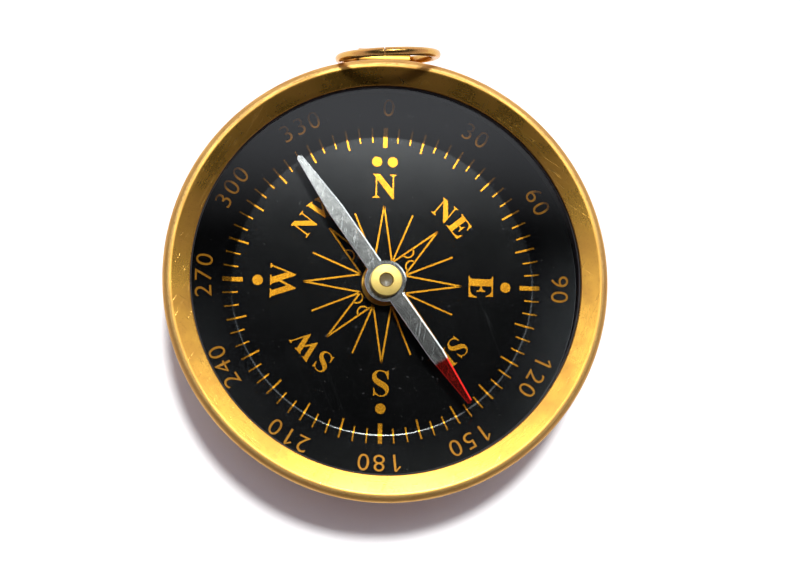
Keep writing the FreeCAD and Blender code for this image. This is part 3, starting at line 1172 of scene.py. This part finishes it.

# Letters drawn on a height of 1; S is one smooth curve whose serifs are cut at S_CORNERS.
LETTERS: dict[str, tuple[Span, ...]] = {
    "N": (
        (0.02, 0.99), (0.29, 0.99), (0.795, 0.38), (0.795, 0.86), (0.77, 0.92), (0.68, 0.955), (0.68, 0.985),
        (0.955, 0.985), (0.955, 0.955), (0.875, 0.92), (0.85, 0.86), (0.85, 0.0), (0.79, 0.0), (0.18, 0.77),
        (0.18, 0.16), (0.205, 0.085), (0.285, 0.055), (0.285, 0.025), (-0.005, 0.025), (-0.005, 0.055),
        (0.09, 0.085), (0.12, 0.16), (0.12, 0.86), (0.02, 0.96),
    ),
    "E": (
        (0.02, 0.99), (0.82, 0.99), (0.835, 0.70), (0.80, 0.70), (0.73, 0.85), (0.64, 0.92), (0.41, 0.935),
        (0.41, 0.535), (0.50, 0.545), (0.57, 0.60), (0.60, 0.69), (0.635, 0.69), (0.635, 0.32), (0.60, 0.32),
        (0.57, 0.42), (0.50, 0.475), (0.41, 0.48), (0.41, 0.065), (0.64, 0.08), (0.76, 0.16), (0.845, 0.33),
        (0.885, 0.33), (0.85, 0.01), (0.02, 0.01), (0.02, 0.045), (0.10, 0.075), (0.13, 0.15), (0.13, 0.85),
        (0.10, 0.925), (0.02, 0.955),
    ),
    "W": (
        (0.0, 1.0), (0.36, 1.0), (0.36, 0.97), (0.30, 0.93), (0.50, 0.35), (0.66, 0.66), (0.56, 0.93),
        (0.50, 0.97), (0.50, 1.0), (0.90, 1.0), (0.90, 0.97), (0.82, 0.93), (1.02, 0.35), (1.225, 0.90),
        (1.18, 0.97), (1.18, 1.0), (1.365, 1.0), (1.365, 0.97), (1.285, 0.90), (0.95, 0.0), (0.91, 0.0),
        (0.70, 0.565), (0.425, 0.0), (0.385, 0.0), (0.06, 0.93), (0.0, 0.97),
    ),
}
LETTER_WIDTHS = {"N": 0.95, "E": 0.89, "W": 1.365, "S": 0.68}
S_CORNERS = {0, 1, 2, 3, 18, 19, 20, 21, 22}
S_OUTLINE = (
    (0.600, 0.985), (0.635, 0.985), (0.635, 0.675), (0.602, 0.675), (0.545, 0.845), (0.440, 0.945),
    (0.330, 0.968), (0.205, 0.930), (0.155, 0.840), (0.195, 0.745), (0.340, 0.645), (0.510, 0.535),
    (0.645, 0.405), (0.683, 0.270), (0.640, 0.105), (0.520, 0.012), (0.365, -0.015), (0.225, 0.008),
    (0.100, 0.055), (0.075, 0.0), (0.042, 0.0), (0.042, 0.345), (0.076, 0.345), (0.135, 0.165),
    (0.235, 0.060), (0.355, 0.030), (0.475, 0.068), (0.528, 0.165), (0.490, 0.275), (0.350, 0.375),
    (0.180, 0.470), (0.060, 0.585), (0.025, 0.730), (0.070, 0.895), (0.185, 0.988), (0.330, 1.015),
    (0.450, 0.993), (0.565, 0.945),
)


def polar(radius: float, azimuth: float) -> Vector:
    """Point on the plane at a radius and an azimuth clockwise from north."""
    return Vector((radius * math.sin(azimuth), radius * math.cos(azimuth), 0.0))


@dataclass
class Dial:
    """Black dished dial with its gold scale, letters and rose."""

    face: DialFace = field(default_factory=DialFace)
    ink: float = 0.02 * MM
    print_turn: float = math.radians(1.27)
    print_shift: Vector = field(default_factory=lambda: Vector((-0.1 * MM, -0.04 * MM, 0)))
    tick_count: int = 72
    bold_every: int = 18
    long_every: int = 3
    tick_outer: float = 18.45 * MM
    tick_inner: float = 16.76 * MM
    long_inner: float = 16.15 * MM
    bold_width: float = 0.5 * MM
    long_width: float = 0.21 * MM
    tick_width: float = 0.17 * MM
    numeral_radius: float = 20.72 * MM
    numeral_height: float = 1.95 * MM
    numeral_pitch: float = 1.8 * MM
    numeral_turn: float = math.radians(0.5)
    numeral_shift: Vector = field(default_factory=lambda: Vector((0.05 * MM, 0.04 * MM, 0)))
    digit_share: float = 0.715
    digit_thinning: float = 0.018 * MM
    digit_widening: float = 1.12
    flag_drop: float = 0.62 * MM
    flag_edge: Span = (-0.1 * MM, 0.08 * MM)
    flag_tip: Span = (-0.52 * MM, -0.66 * MM)
    flag_thickness: float = 0.12 * MM
    cardinal_radius: float = 10.07 * MM
    cardinal_height: float = 2.95 * MM
    diagonal_radius: float = 10.2 * MM
    diagonal_height: float = 2.4 * MM
    letter_gap: float = 0.35 * MM
    swash_steps: int = 4
    dot_radius: float = 0.6 * MM
    dot_at: float = 14.45 * MM
    pair_half: float = 0.93 * MM
    node_radius: float = 2.74 * MM
    cardinal_apex: float = 9.2 * MM
    diagonal_apex: float = 8.96 * MM
    ray_end: float = 8.85 * MM
    stroke: float = 0.2 * MM
    loop_stroke: float = 0.18 * MM
    loop_radius: float = 0.66 * MM
    enamel: Enamel = field(default_factory=Enamel)
    gold: GoldInk = field(default_factory=GoldInk)
    # The numerals stand on the rising flange and take a darker copy of the gold ink: painted shade.
    numeral_gold: GoldInk = field(default_factory=lambda: GoldInk(
        "numeral_ink_painted_shade", (0.56, 0.23, 0.012), (0.46, 0.18, 0.01), metallic=0.55, flange_loss=0.0,
    ))

    def build(self) -> None:
        """Make the plate and its four sheets of print."""
        plate = make_piece("dial_disc", self._plate(), self.enamel.dress())
        hand_over(plate, Body.CASE, Slot.DIAL_ENAMEL, "dial_plate")
        gold, numeral_gold = self.gold.dress(), self.numeral_gold.dress()
        sheets = {
            "scale_ticks": self._ticks,
            "scale_numerals": self._numerals,
            "direction_letters": self._letters,
            "compass_rose": self._rose,
        }
        for name, draw in sheets.items():
            stencil = Stencil()
            draw(stencil)
            stencil.place(self.print_turn, self.print_shift)
            # The numerals get the darker copy of the ink, as painted shade.
            ink = numeral_gold if name == "scale_numerals" else gold
            hand_over(make_piece(name, stencil.laid(self.face, self.ink), ink), Body.CASE, Slot.DIAL_ENAMEL)

    def _plate(self) -> bmesh.types.BMesh:
        """Flat middle, soft crease, rising flange and flat rim.

        Returns:
            The dial's mesh.
        """
        face = self.face
        radii = [face.crease - 2 * face.blend, *face.crease_radii(), face.crease + 2 * face.blend]
        radii.append(face.well - face.blend / 2)
        front = [Corner(face.bore, face.flat)]
        front += [Corner(r, face.height(r)) for r in radii]
        front += [Corner(face.well, face.rim), Corner(face.outer, face.rim)]
        back = [Corner(c.r, c.z - face.sheet) for c in reversed(front)]
        return turned(front + back)

    def _ticks(self, stencil: Stencil) -> None:
        """Seventy-two marks, longer every fifteen degrees and bold at the four winds.

        Args:
            stencil: where they are drawn.
        """
        for index in range(self.tick_count):
            bold, longer = index % self.bold_every == 0, index % self.long_every == 0
            width = self.bold_width if bold else self.long_width if longer else self.tick_width
            inner = self.long_inner if longer else self.tick_inner
            azimuth = math.tau * index / self.tick_count
            stencil.tick(inner, self.tick_outer, width, azimuth, self.face.crease_radii())

    def _numerals(self, stencil: Stencil) -> None:
        """Degrees every thirty, tops outwards.

        Args:
            stencil: where they are drawn.
        """
        for degrees in range(0, 360, 30):
            text = str(degrees)
            for index, digit in enumerate(text):
                offset = (index - (len(text) - 1) / 2) * self.numeral_pitch / self.numeral_radius
                self._digit(stencil, digit, math.radians(degrees) + self.numeral_turn + offset)

    def _digit(self, stencil: Stencil, digit: str, azimuth: float) -> None:
        """One digit of a numeral; the figure one gets its flag.

        Args:
            stencil: where it is drawn.
            digit: the figure.
            azimuth: its direction.
        """
        text = bpy.data.curves.new("digit", "FONT")
        text.body = digit
        text.align_x = "CENTER"
        text.size = self.numeral_height / self.digit_share
        text.resolution_u = ROUND_STEPS
        text.offset = -self.digit_thinning
        base = Matrix.Translation((0, self.numeral_radius - self.numeral_height / 2, 0))
        place = Matrix.Translation(self.numeral_shift) @ Matrix.Rotation(-azimuth, 4, "Z") @ base
        stencil.curve(text, place @ Matrix.Scale(self.digit_widening, 4, (1, 0, 0)))
        if digit == "1":
            top, foot = self.numeral_height, self.numeral_height - self.flag_drop
            (left, right), (lower, upper) = self.flag_edge, self.flag_tip
            flag = ((left, top), (right, top), (lower, foot), (upper, foot + self.flag_thickness))
            stencil.outline(flag, place)

    def _letters(self, stencil: Stencil) -> None:
        """The eight winds, their dots and the pair of dots at north.

        Args:
            stencil: where they are drawn.
        """
        for index, word in enumerate(("N", "NE", "E", "SE", "S", "SW", "W", "NW")):
            cardinal = len(word) == 1
            height = self.cardinal_height if cardinal else self.diagonal_height
            radius = self.cardinal_radius if cardinal else self.diagonal_radius
            self._word(stencil, word, math.radians(45 * index), radius, height)
        for side in (-1, 1):
            stencil.dot(side * self.pair_half, self.dot_at, self.dot_radius, 0.0)
        for quarter in (1, 2, 3):
            stencil.dot(0.0, self.dot_at, self.dot_radius, quarter * math.pi / 2)

    def _word(self, stencil: Stencil, word: str, azimuth: float, radius: float, height: float) -> None:
        """One or two letters standing on a circle.

        Args:
            stencil: where they are drawn.
            word: the letters.
            azimuth: the word's direction.
            radius: radius of the letters' feet.
            height: their height.
        """
        widths = [LETTER_WIDTHS[letter] * height for letter in word]
        left = -(sum(widths) + self.letter_gap * (len(word) - 1)) / 2
        for letter, width in zip(word, widths):
            middle = left + width / 2
            turn = Matrix.Rotation(-azimuth - middle / (radius + height / 2), 4, "Z")
            place = turn @ Matrix.Translation((-width / 2, radius, 0)) @ Matrix.Scale(height, 4)
            if letter == "S":
                self._swash(stencil, place)
            else:
                stencil.outline(LETTERS[letter], place)
            left += width + self.letter_gap

    def _swash(self, stencil: Stencil, place: Matrix) -> None:
        """The letter S from a smooth outline with cut serifs.

        Args:
            stencil: where it is drawn.
            place: the letter's place.
        """
        curve = bpy.data.curves.new("letter", "CURVE")
        curve.dimensions, curve.fill_mode = "2D", "BOTH"
        spline = curve.splines.new("BEZIER")
        spline.bezier_points.add(len(S_OUTLINE) - 1)
        spline.use_cyclic_u, spline.resolution_u = True, self.swash_steps
        for index, (point, (x, y)) in enumerate(zip(spline.bezier_points, S_OUTLINE)):
            point.co = (x, y, 0)
            kind = "VECTOR" if index in S_CORNERS else "AUTO"
            point.handle_left_type = point.handle_right_type = kind
        stencil.curve(curve, place)

    def _rose(self, stencil: Stencil) -> None:
        """Eight drawn points with a ray between each pair.

        Args:
            stencil: where it is drawn.
        """
        for index in range(8):
            node_angle = math.radians(22.5 + 45 * index)
            node = polar(self.node_radius, node_angle)
            stencil.bar(node, polar(self.ray_end, node_angle), self.stroke)
            for side in (-1, 1):
                apex_angle = node_angle + side * math.radians(22.5)
                diagonal = (index % 2 == 0) == (side == 1)
                reach = self.diagonal_apex if diagonal else self.cardinal_apex
                apex = polar(reach, apex_angle)
                stencil.bar(node, apex, self.stroke)
                if diagonal:
                    self._loop(stencil, node, apex, LOOP_PLACES[index] * MM, side)

    def _loop(self, stencil: Stencil, node: Vector, apex: Vector, distance: float, side: int) -> None:
        """Half loop on the inside of a diagonal point.

        Args:
            stencil: where it is drawn.
            node: inner end of the point's edge.
            apex: outer end of the edge.
            distance: from the node to the loop's middle.
            side: 1 where the point lies clockwise of the edge, else -1.
        """
        along = (apex - node).normalized()
        centre, start = node + along * distance, along * self.loop_radius
        stencil.half_ring(centre, start, self.loop_stroke, -side * math.pi)


# ----------------------------------------------------------- pivot and needle


@dataclass
class Pivot:
    """Washer, nut, pillar and point in the middle of the dial."""

    bore: float = 1.02 * MM
    washer_edge: float = 0.03 * MM
    washer_top_edge: float = 0.1 * MM
    nut_half: float = 1.6 * MM
    chamfer: float = 0.14 * MM
    crown_inset: float = 0.05 * MM
    turned_brass: Brass = field(default_factory=lambda: Brass(
        "pivot_turned_brass", grain_fineness=11000.0, tarnish=0.45, roughness=0.3, bright=(0.8, 0.42, 0.07),
    ))
    inner_brass: Brass = field(default_factory=lambda: Brass(
        "inner_plain_brass", tarnish=0.7, roughness=0.4,
    ))
    point_steel: Plain = field(default_factory=lambda: Plain(
        "point_polished_steel", (0.55, 0.55, 0.56), (0.4, 0.39, 0.38), 0.18, 1.0,
    ))

    def build(self) -> None:
        """Make the washer and nut, and dress the hidden CAD pieces."""
        brass, inner = self.turned_brass.dress(), self.inner_brass.dress()
        parts = (
            ("washer_ring", self._washer(), "pivot_washer"),
            ("hex_nut", self._nut(), "pivot_nut"),
        )
        for name, mesh, node in parts:
            hand_over(make_piece(name, mesh, brass), Body.CASE, Slot.TURNED_BRASS, node)
        for node in ("pivot_pillar", "dial_seat_ring"):
            dress_node(node, inner)
        dress_node("pivot_pin", self.point_steel.dress())

    def _washer(self) -> bmesh.types.BMesh:
        """Turned washer with a rounded top edge.

        Returns:
            The washer's mesh.
        """
        low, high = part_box("pivot_washer")
        return turned([
            Corner(self.bore, low.z), Corner(high.x, low.z, self.washer_edge),
            Corner(high.x, high.z, self.washer_top_edge), Corner(self.bore, high.z),
        ], SMALL_STEPS)

    def _nut(self) -> bmesh.types.BMesh:
        """Turned blank with chamfers, cut to six flats.

        Returns:
            The nut's mesh.
        """
        low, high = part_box("pivot_nut")
        corner = self.nut_half / math.cos(math.pi / 6)
        bm = turned([
            Corner(self.bore, low.z), Corner(corner, low.z), Corner(corner, high.z - self.chamfer),
            Corner(self.nut_half - self.crown_inset, high.z), Corner(self.bore, high.z),
        ], SMALL_STEPS)
        for side in range(6):
            outward = polar(1.0, math.radians(30 + 60 * side))
            cut = bmesh.ops.bisect_plane(
                bm, geom=[*bm.verts, *bm.edges, *bm.faces], plane_co=outward * self.nut_half,
                plane_no=outward, clear_outer=True,
            )
            edges = [item for item in cut["geom_cut"] if isinstance(item, bmesh.types.BMEdge)]
            bmesh.ops.edgeloop_fill(bm, edges=edges)
        return closed_up(bm)


@dataclass
class Needle:
    """Steel blade with ground edges, brass cap and stone bearing."""

    bearing: float = math.radians(325.2)
    silver: float = 17.6 * MM
    red: float = 17.0 * MM
    shoulder: float = 10.1 * MM
    half_width: float = 0.925 * MM
    silver_tip: float = 0.375 * MM
    red_tip: float = 0.315 * MM
    disc: float = 2.41 * MM
    disc_share: float = 0.7
    ground_depth: float = 0.035 * MM
    edge_width: float = 0.05 * MM
    east_width: float = 0.12 * MM
    cap_radius: float = 1.83 * MM
    cap_edge: float = 0.05 * MM
    cap_break: float = 0.02 * MM
    crown: float = 0.1 * MM
    crown_inset: float = 0.06 * MM
    crown_steps: int = 8
    tenon: float = 1.15 * MM
    tenon_steps: int = 48
    tenon_bore: float = 0.6 * MM
    pit: float = 0.82 * MM
    pit_edge: float = 0.04 * MM
    jewel_gap: float = 0.02 * MM
    jewel_edge: float = 0.04 * MM
    dish_radius: float = 0.3 * MM
    dish_depth: float = 0.09 * MM
    dish_middle_depth: float = 0.12 * MM
    jewel_cup: float = 0.45 * MM
    jewel_cup_depth: float = 0.35 * MM
    cap_brass: Brass = field(default_factory=lambda: Brass(
        "cap_turned_brass", bright=(0.93, 0.66, 0.2), dull=(0.62, 0.38, 0.12), grain_fineness=7000.0,
        tarnish=0.35, roughness=0.38, depth=0.007 * MM,
    ))
    stone: Plain = field(default_factory=lambda: Plain(
        "jewel_dark_stone", (0.085, 0.06, 0.03), (0.2, 0.145, 0.07), 0.2,
    ))

    def build(self) -> None:
        """Make the blade, the cap and the stone."""
        steel = NeedleSteel(bearing=self.bearing).dress()
        parts = (
            ("steel_blade", self._blade(), steel, Slot.NEEDLE_STEEL, "needle_blade"),
            ("brass_cap", self._cap(), self.cap_brass.dress(), Slot.TURNED_BRASS, "needle_cap"),
            ("stone_bearing", self._stone(), self.stone.dress(), Slot.JEWEL_STONE, "cap_jewel"),
        )
        for name, mesh, material, slot, node in parts:
            hand_over(make_piece(name, mesh, material, BLADE_SHARP), Body.NEEDLE, slot, node)

    @staticmethod
    def _arc(y: float, radius: float, start: float, end: float, steps: int) -> list[Vector]:
        """Points along an arc about (0, y), its ends given as azimuths clockwise from north."""
        azimuths = [start + (end - start) * i / steps for i in range(steps + 1)]
        return [Vector((0, y, 0)) + polar(radius, azimuth) for azimuth in azimuths]

    def _outline(self) -> list[Vector]:
        """Half outline of the blade on its east side, silver tip to red tip.

        Returns:
            Points on the plane, for a needle that points north.
        """
        meet, east = math.asin(self.half_width / self.disc), math.pi / 2
        return [
            *self._arc(self.silver - self.silver_tip, self.silver_tip, 0.0, east, 2 * ROUND_STEPS),
            Vector((self.half_width, self.shoulder, 0)),
            *self._arc(0.0, self.disc, meet, math.pi - meet, 4 * ROUND_STEPS),
            Vector((self.half_width, -self.shoulder, 0)),
            *self._arc(self.red_tip - self.red, self.red_tip, east, math.pi, 2 * ROUND_STEPS),
        ]

    def _blade(self) -> bmesh.types.BMesh:
        """Flat blade whose top edges are ground off.

        Returns:
            The blade's mesh.
        """
        low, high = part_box("needle_blade")
        east = self._outline()
        west = [Vector((-p.x, p.y, 0)) for p in reversed(east[1:-1])]
        bm = bmesh.new()
        bore = bmesh.ops.create_circle(bm, segments=self.tenon_steps, radius=self.tenon)["verts"]
        rim = [bm.verts.new(p) for p in east + west]
        loops = [edge for loop in (bore, rim) for edge in self._ringed(bm, loop)]
        bmesh.ops.triangle_fill(bm, use_beauty=True, edges=loops)
        bmesh.ops.translate(bm, verts=bm.verts[:], vec=(0, 0, low.z))
        grown = bmesh.ops.extrude_face_region(bm, geom=bm.faces[:])["geom"]
        tops = [item for item in grown if isinstance(item, bmesh.types.BMVert)]
        height = high.z - low.z
        bmesh.ops.translate(bm, verts=tops, vec=(0, 0, height - self.ground_depth))
        faces = [item for item in grown if isinstance(item, bmesh.types.BMFace)]
        bmesh.ops.recalc_face_normals(bm, faces=bm.faces[:])
        bmesh.ops.inset_region(
            bm, faces=faces, thickness=self.edge_width, depth=0.0, use_boundary=True, use_even_offset=True,
        )
        for vert in {v for face in faces for v in face.verts}:
            vert.co.z = high.z
            if vert.co.x > self.east_width and vert.co.length > self.disc * self.disc_share:
                vert.co.x -= self.east_width
        turn = Matrix.Rotation(-self.bearing, 3, "Z")
        bmesh.ops.rotate(bm, verts=bm.verts[:], cent=(0, 0, 0), matrix=turn)
        return closed_up(bm)

    @staticmethod
    def _ringed(bm: bmesh.types.BMesh, loop: Sequence[bmesh.types.BMVert]) -> list[bmesh.types.BMEdge]:
        """Edges that join a loop of corners in order, new where there are none."""
        pairs = zip(loop, [*loop[1:], loop[0]])
        return [bm.edges.get(pair) or bm.edges.new(pair) for pair in pairs]

    def _cap(self) -> bmesh.types.BMesh:
        """Crowned boss with a pit, on a tenon through the blade.

        Returns:
            The cap's mesh.
        """
        low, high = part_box("needle_cap")
        _, blade_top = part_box("needle_blade")
        jewel_low, jewel_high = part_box("cap_jewel")
        seat, bore = jewel_high.x + self.jewel_gap, self.tenon_bore
        span = self.cap_radius - self.crown_inset - self.pit
        steps = self.crown_steps
        crown = [self._crowned(high.z, self.pit + span * i / steps) for i in range(1, steps + 1)]
        return turned([
            Corner(bore, low.z), Corner(self.tenon, low.z, self.cap_edge), Corner(self.tenon, blade_top.z),
            Corner(self.cap_radius, blade_top.z, self.cap_edge),
            Corner(self.cap_radius, high.z - self.crown - self.cap_edge, self.cap_break),
            *reversed(crown), self._crowned(high.z, self.pit, self.pit_edge),
            Corner(seat, jewel_high.z), Corner(seat, jewel_low.z), Corner(bore, jewel_low.z),
        ], FINE_STEPS)

    def _crowned(self, top: float, radius: float, fillet: float = 0.0) -> Corner:
        """Corner on the cap's gently crowned top at a radius."""
        return Corner(radius, top - self.crown * (radius / self.cap_radius) ** 2, fillet)

    def _stone(self) -> bmesh.types.BMesh:
        """Stone disc, hollow below and slightly dished above.

        Returns:
            The stone's mesh.
        """
        low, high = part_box("cap_jewel")
        return turned([
            Corner(0, high.z - self.dish_middle_depth), Corner(self.dish_radius, high.z - self.dish_depth),
            Corner(high.x, high.z, self.jewel_edge), Corner(high.x, low.z),
            Corner(self.jewel_cup, low.z), Corner(0, low.z + self.jewel_cup_depth),
        ], TUBE_STEPS)


@dataclass
class Bow:
    """Split wire ring standing in the lug's eye and leaning on the bezel."""

    mean_radius: float = 5.55 * MM
    wire: float = 0.479 * MM
    rise: float = 5.059 * MM
    twist: float = math.radians(3.5)
    lean: float = math.radians(10.67)
    split: float = math.radians(0.6)
    split_at: float = math.radians(9.5)
    end_break: float = 0.06 * MM
    bend_steps: int = 240
    eye: Vector = field(default_factory=lambda: Vector((0, 26.279 * MM, 6.9 * MM)))
    brass: Brass = field(default_factory=lambda: Brass(
        "bow_wire_brass", grain=Grain.DRAWN, grain_fineness=3000.0, tarnish=0.6, roughness=0.17,
        bright=(0.72, 0.41, 0.1), dull=(0.34, 0.18, 0.07),
    ))

    def build(self) -> None:
        """Make the ring."""
        ring = make_piece("bow_wire", self._ring(), self.brass.dress())
        hand_over(ring, Body.BOW, Slot.WIRE_BRASS, "bow_ring")

    def _ring(self) -> bmesh.types.BMesh:
        """Round wire swept nearly full circle, its cut ends broken.

        Returns:
            The ring's mesh.
        """
        bm = bmesh.new()
        start = Matrix.Translation((self.mean_radius, 0, 0))
        bmesh.ops.create_circle(bm, cap_ends=True, segments=WIRE_STEPS, radius=self.wire, matrix=start)
        bmesh.ops.spin(
            bm, geom=bm.faces[:], cent=(0, 0, 0), axis=(0, 1, 0), dvec=(0, 0, 0),
            angle=math.tau - self.split, steps=self.bend_steps, use_merge=False,
        )
        closed_up(bm)
        cut_ends = [face for face in bm.faces if len(face.verts) == WIRE_STEPS]
        bevelled(bm, {edge for face in cut_ends for edge in face.edges}, self.end_break, BREAK_STEPS)
        turn_back = Matrix.Rotation(self.split / 2 - math.pi / 2 - self.split_at, 4, "Y")
        tilt = Matrix.Rotation(self.lean, 4, "X") @ Matrix.Rotation(self.twist, 4, "Z")
        place = Matrix.Translation(self.eye) @ tilt @ Matrix.Translation((0, 0, self.rise)) @ turn_back
        bmesh.ops.transform(bm, matrix=place, verts=bm.verts[:])
        return bm


# --------------------------------------------------------------------- studio


@dataclass
class Studio:
    """White floor, two lamps in the north, soft surroundings and the camera."""

    floor_half: float = 3.0
    floor_z: float = -0.01 * MM
    paper: Colour = (0.93, 0.93, 0.93)
    paper_roughness: float = 0.9
    paper_fineness: float = 1800.0
    paper_depth: float = 0.006 * MM
    lamp_from: Vector = field(default_factory=lambda: Vector((0.025, 0.375, 1.0)))
    lamp_strength: float = 3.1
    lamp_angle: float = math.radians(7.0)
    sheen_strength: float = 1.15
    sheen_angle: float = math.radians(9.0)
    sheen_from: Vector = field(default_factory=lambda: Vector((0.11, 0.41, 1.0)))
    window_light: float = 3.1
    haze_light: float = 0.85
    fill_light: float = 0.011
    shade_light: float = 0.006
    horizon_light: float = 0.25
    side_gain: float = 0.4
    north_gain: float = 0.25
    north_edge: Span = (-0.8, 0.1)
    far_north_gain: float = 0.7
    far_north_edge: Span = (0.55, 0.85)
    backdrop: float = 0.9
    cool: Colour = (0.93, 0.965, 1.04)
    mauve: Colour = (1.03, 0.88, 1.1)
    overhead: Span = (0.2, 0.4)
    horizon: Span = (0.7, 0.42)
    patch_middle: Span = (0.12, 0.18)
    patch_half: Span = (0.5, 0.42)
    patch_edge: Span = (1.15, 0.85)
    haze_edge: Span = (0.165, 0.27)
    window_edge: Span = (0.29, 0.39)
    west_rise: Sequence[Span] = ((-0.03, -0.15), (0.0, 0.12))
    west_lift: float = 0.24
    east_rise: Sequence[Span] = ((0.2, 0.34), (0.15, 0.27))
    east_lift: float = 0.12
    shade_middle: Span = (0.13, 0.04)
    shade_edges: Sequence[Span] = ((0.34, 0.24), (0.2, 0.12))
    aim: Vector = field(default_factory=lambda: Vector((1.23, -1.06, 12.0)) * MM)
    lean_x: float = -0.114
    lean_y: float = -0.13
    roll: float = -0.005
    distance: float = 150.0 * MM
    lens: float = 60.44
    sensor: float = 36.0
    sight: Span = (0.01, 20.0)

    def build(self) -> None:
        """Set up everything around the compass."""
        self._floor()
        self._lamp("key_lamp", self.lamp_from, self.lamp_strength, self.lamp_angle, False)
        self._lamp("sheen_lamp", self.sheen_from, self.sheen_strength, self.sheen_angle, True)
        self._surroundings()
        self._camera()
        bpy.context.scene.view_settings.view_transform = "Standard"

    def _floor(self) -> None:
        """Wide sheet of plain paper."""
        recipe = Recipe("plain_paper")
        tooth = recipe.noise(recipe.spot, self.paper_fineness, 3.0)
        material = recipe.finish(recipe.principled(
            Base_Color=self.paper, Roughness=self.paper_roughness,
            Normal=recipe.bump(tooth, self.paper_depth),
        ))
        bm = bmesh.new()
        place = Matrix.Translation((0, 0, self.floor_z))
        bmesh.ops.create_grid(bm, x_segments=1, y_segments=1, size=self.floor_half, matrix=place)
        floor = make_piece("floor", bm, material)

    def _lamp(self, name: str, toward: Vector, strength: float, angle: float, glossy: bool) -> None:
        """One lamp high in the north, for matt surfaces or for highlights.

        Args:
            name: the lamp's name.
            toward: direction from the compass to the lamp.
            strength: its strength.
            angle: its apparent size.
            glossy: True to make highlights only, False to light matt surfaces only.
        """
        light = bpy.data.lights.new(name, "SUN")
        light.energy, light.angle = strength, angle
        lamp = bpy.data.objects.new(name, light)
        lamp.visible_glossy, lamp.visible_diffuse = glossy, not glossy
        lamp.rotation_mode = "QUATERNION"
        lamp.rotation_quaternion = toward.to_track_quat("Z", "Y")
        bpy.context.scene.collection.objects.link(lamp)

    def _surroundings(self) -> None:
        """Soft window light from the north over a dim even fill."""
        world = bpy.data.worlds.new("surroundings")
        bpy.context.scene.world = world
        world.use_nodes = True
        bench = Bench(world.node_tree)
        x, y, z = bench.split(bench.add("ShaderNodeTexCoord").outputs["Generated"])
        slopes = x / z, y / z
        above = z.step(*self.overhead)
        west_rise = self._corner(slopes, self.west_rise) * self.west_lift
        east_rise = self._corner(slopes, self.east_rise) * self.east_lift
        climb = slopes[1] + west_rise + east_rise
        across, along = (
            (slope - middle) / half
            for slope, middle, half in zip(slopes, self.patch_middle, self.patch_half)
        )
        end = (across * across + along * along).step(*self.patch_edge) * above
        haze = climb.step(*self.haze_edge) * end
        window = climb.step(*self.window_edge) * end
        off_shade = [abs(slope - middle) for slope, middle in zip(slopes, self.shade_middle)]
        shade = self._corner(off_shade, self.shade_edges) * above
        horizon = z.step(*self.horizon)
        sides = abs(x) * self.side_gain + y.step(*self.north_edge) * self.north_gain
        sides = sides + y.step(*self.far_north_edge) * self.far_north_gain + self.horizon_light
        fill = self.fill_light + shade * (self.shade_light - self.fill_light)
        fill = fill + horizon * (sides - self.fill_light)
        level = fill + haze * self.haze_light + window * (self.window_light - self.haze_light)
        seen = Tone(bench, bench.add("ShaderNodeLightPath").outputs["Is Camera Ray"])
        strength = level * (1 - seen) + seen * self.backdrop
        colour = bench.blend(horizon * (1 - seen), self.cool, self.mauve)
        light = bench.add("ShaderNodeBackground", None, {"Color": colour, "Strength": strength})
        bench.add("ShaderNodeOutputWorld", None, {"Surface": light.outputs[0]})

    @staticmethod
    def _corner(slopes: Sequence[Tone], edges: Sequence[Span]) -> Tone:
        """Full in a corner of the sky, fading across one edge in X and one in Y."""
        return slopes[0].step(*edges[0]) * slopes[1].step(*edges[1])

    def _camera(self) -> None:
        """Camera above the compass, a little to its south-west."""
        back = Vector((math.tan(self.lean_x), math.tan(self.lean_y), 1.0)).normalized()
        level = Vector((-math.sin(self.roll), math.cos(self.roll), 0.0))
        right = (-back).cross(level).normalized()
        up = back.cross(right)
        data = bpy.data.cameras.new("camera")
        data.lens, data.sensor_width = self.lens, self.sensor
        data.clip_start, data.clip_end = self.sight
        camera = bpy.data.objects.new("camera", data)
        turn = Matrix((right, up, back)).transposed().to_4x4()
        camera.matrix_world = Matrix.Translation(self.aim + back * self.distance) @ turn
        bpy.context.scene.collection.objects.link(camera)
        bpy.context.scene.camera = camera


def main() -> None:
    """Build the compass and its studio in order."""
    logging.basicConfig(level=logging.INFO, format="%(message)s")
    for assembly in (Case(), Bezel(), Dial(), Pivot(), Needle(), Bow(), Studio()):
        assembly.build()
    bpy.context.view_layer.update()


if __name__ == "__main__":
    main()
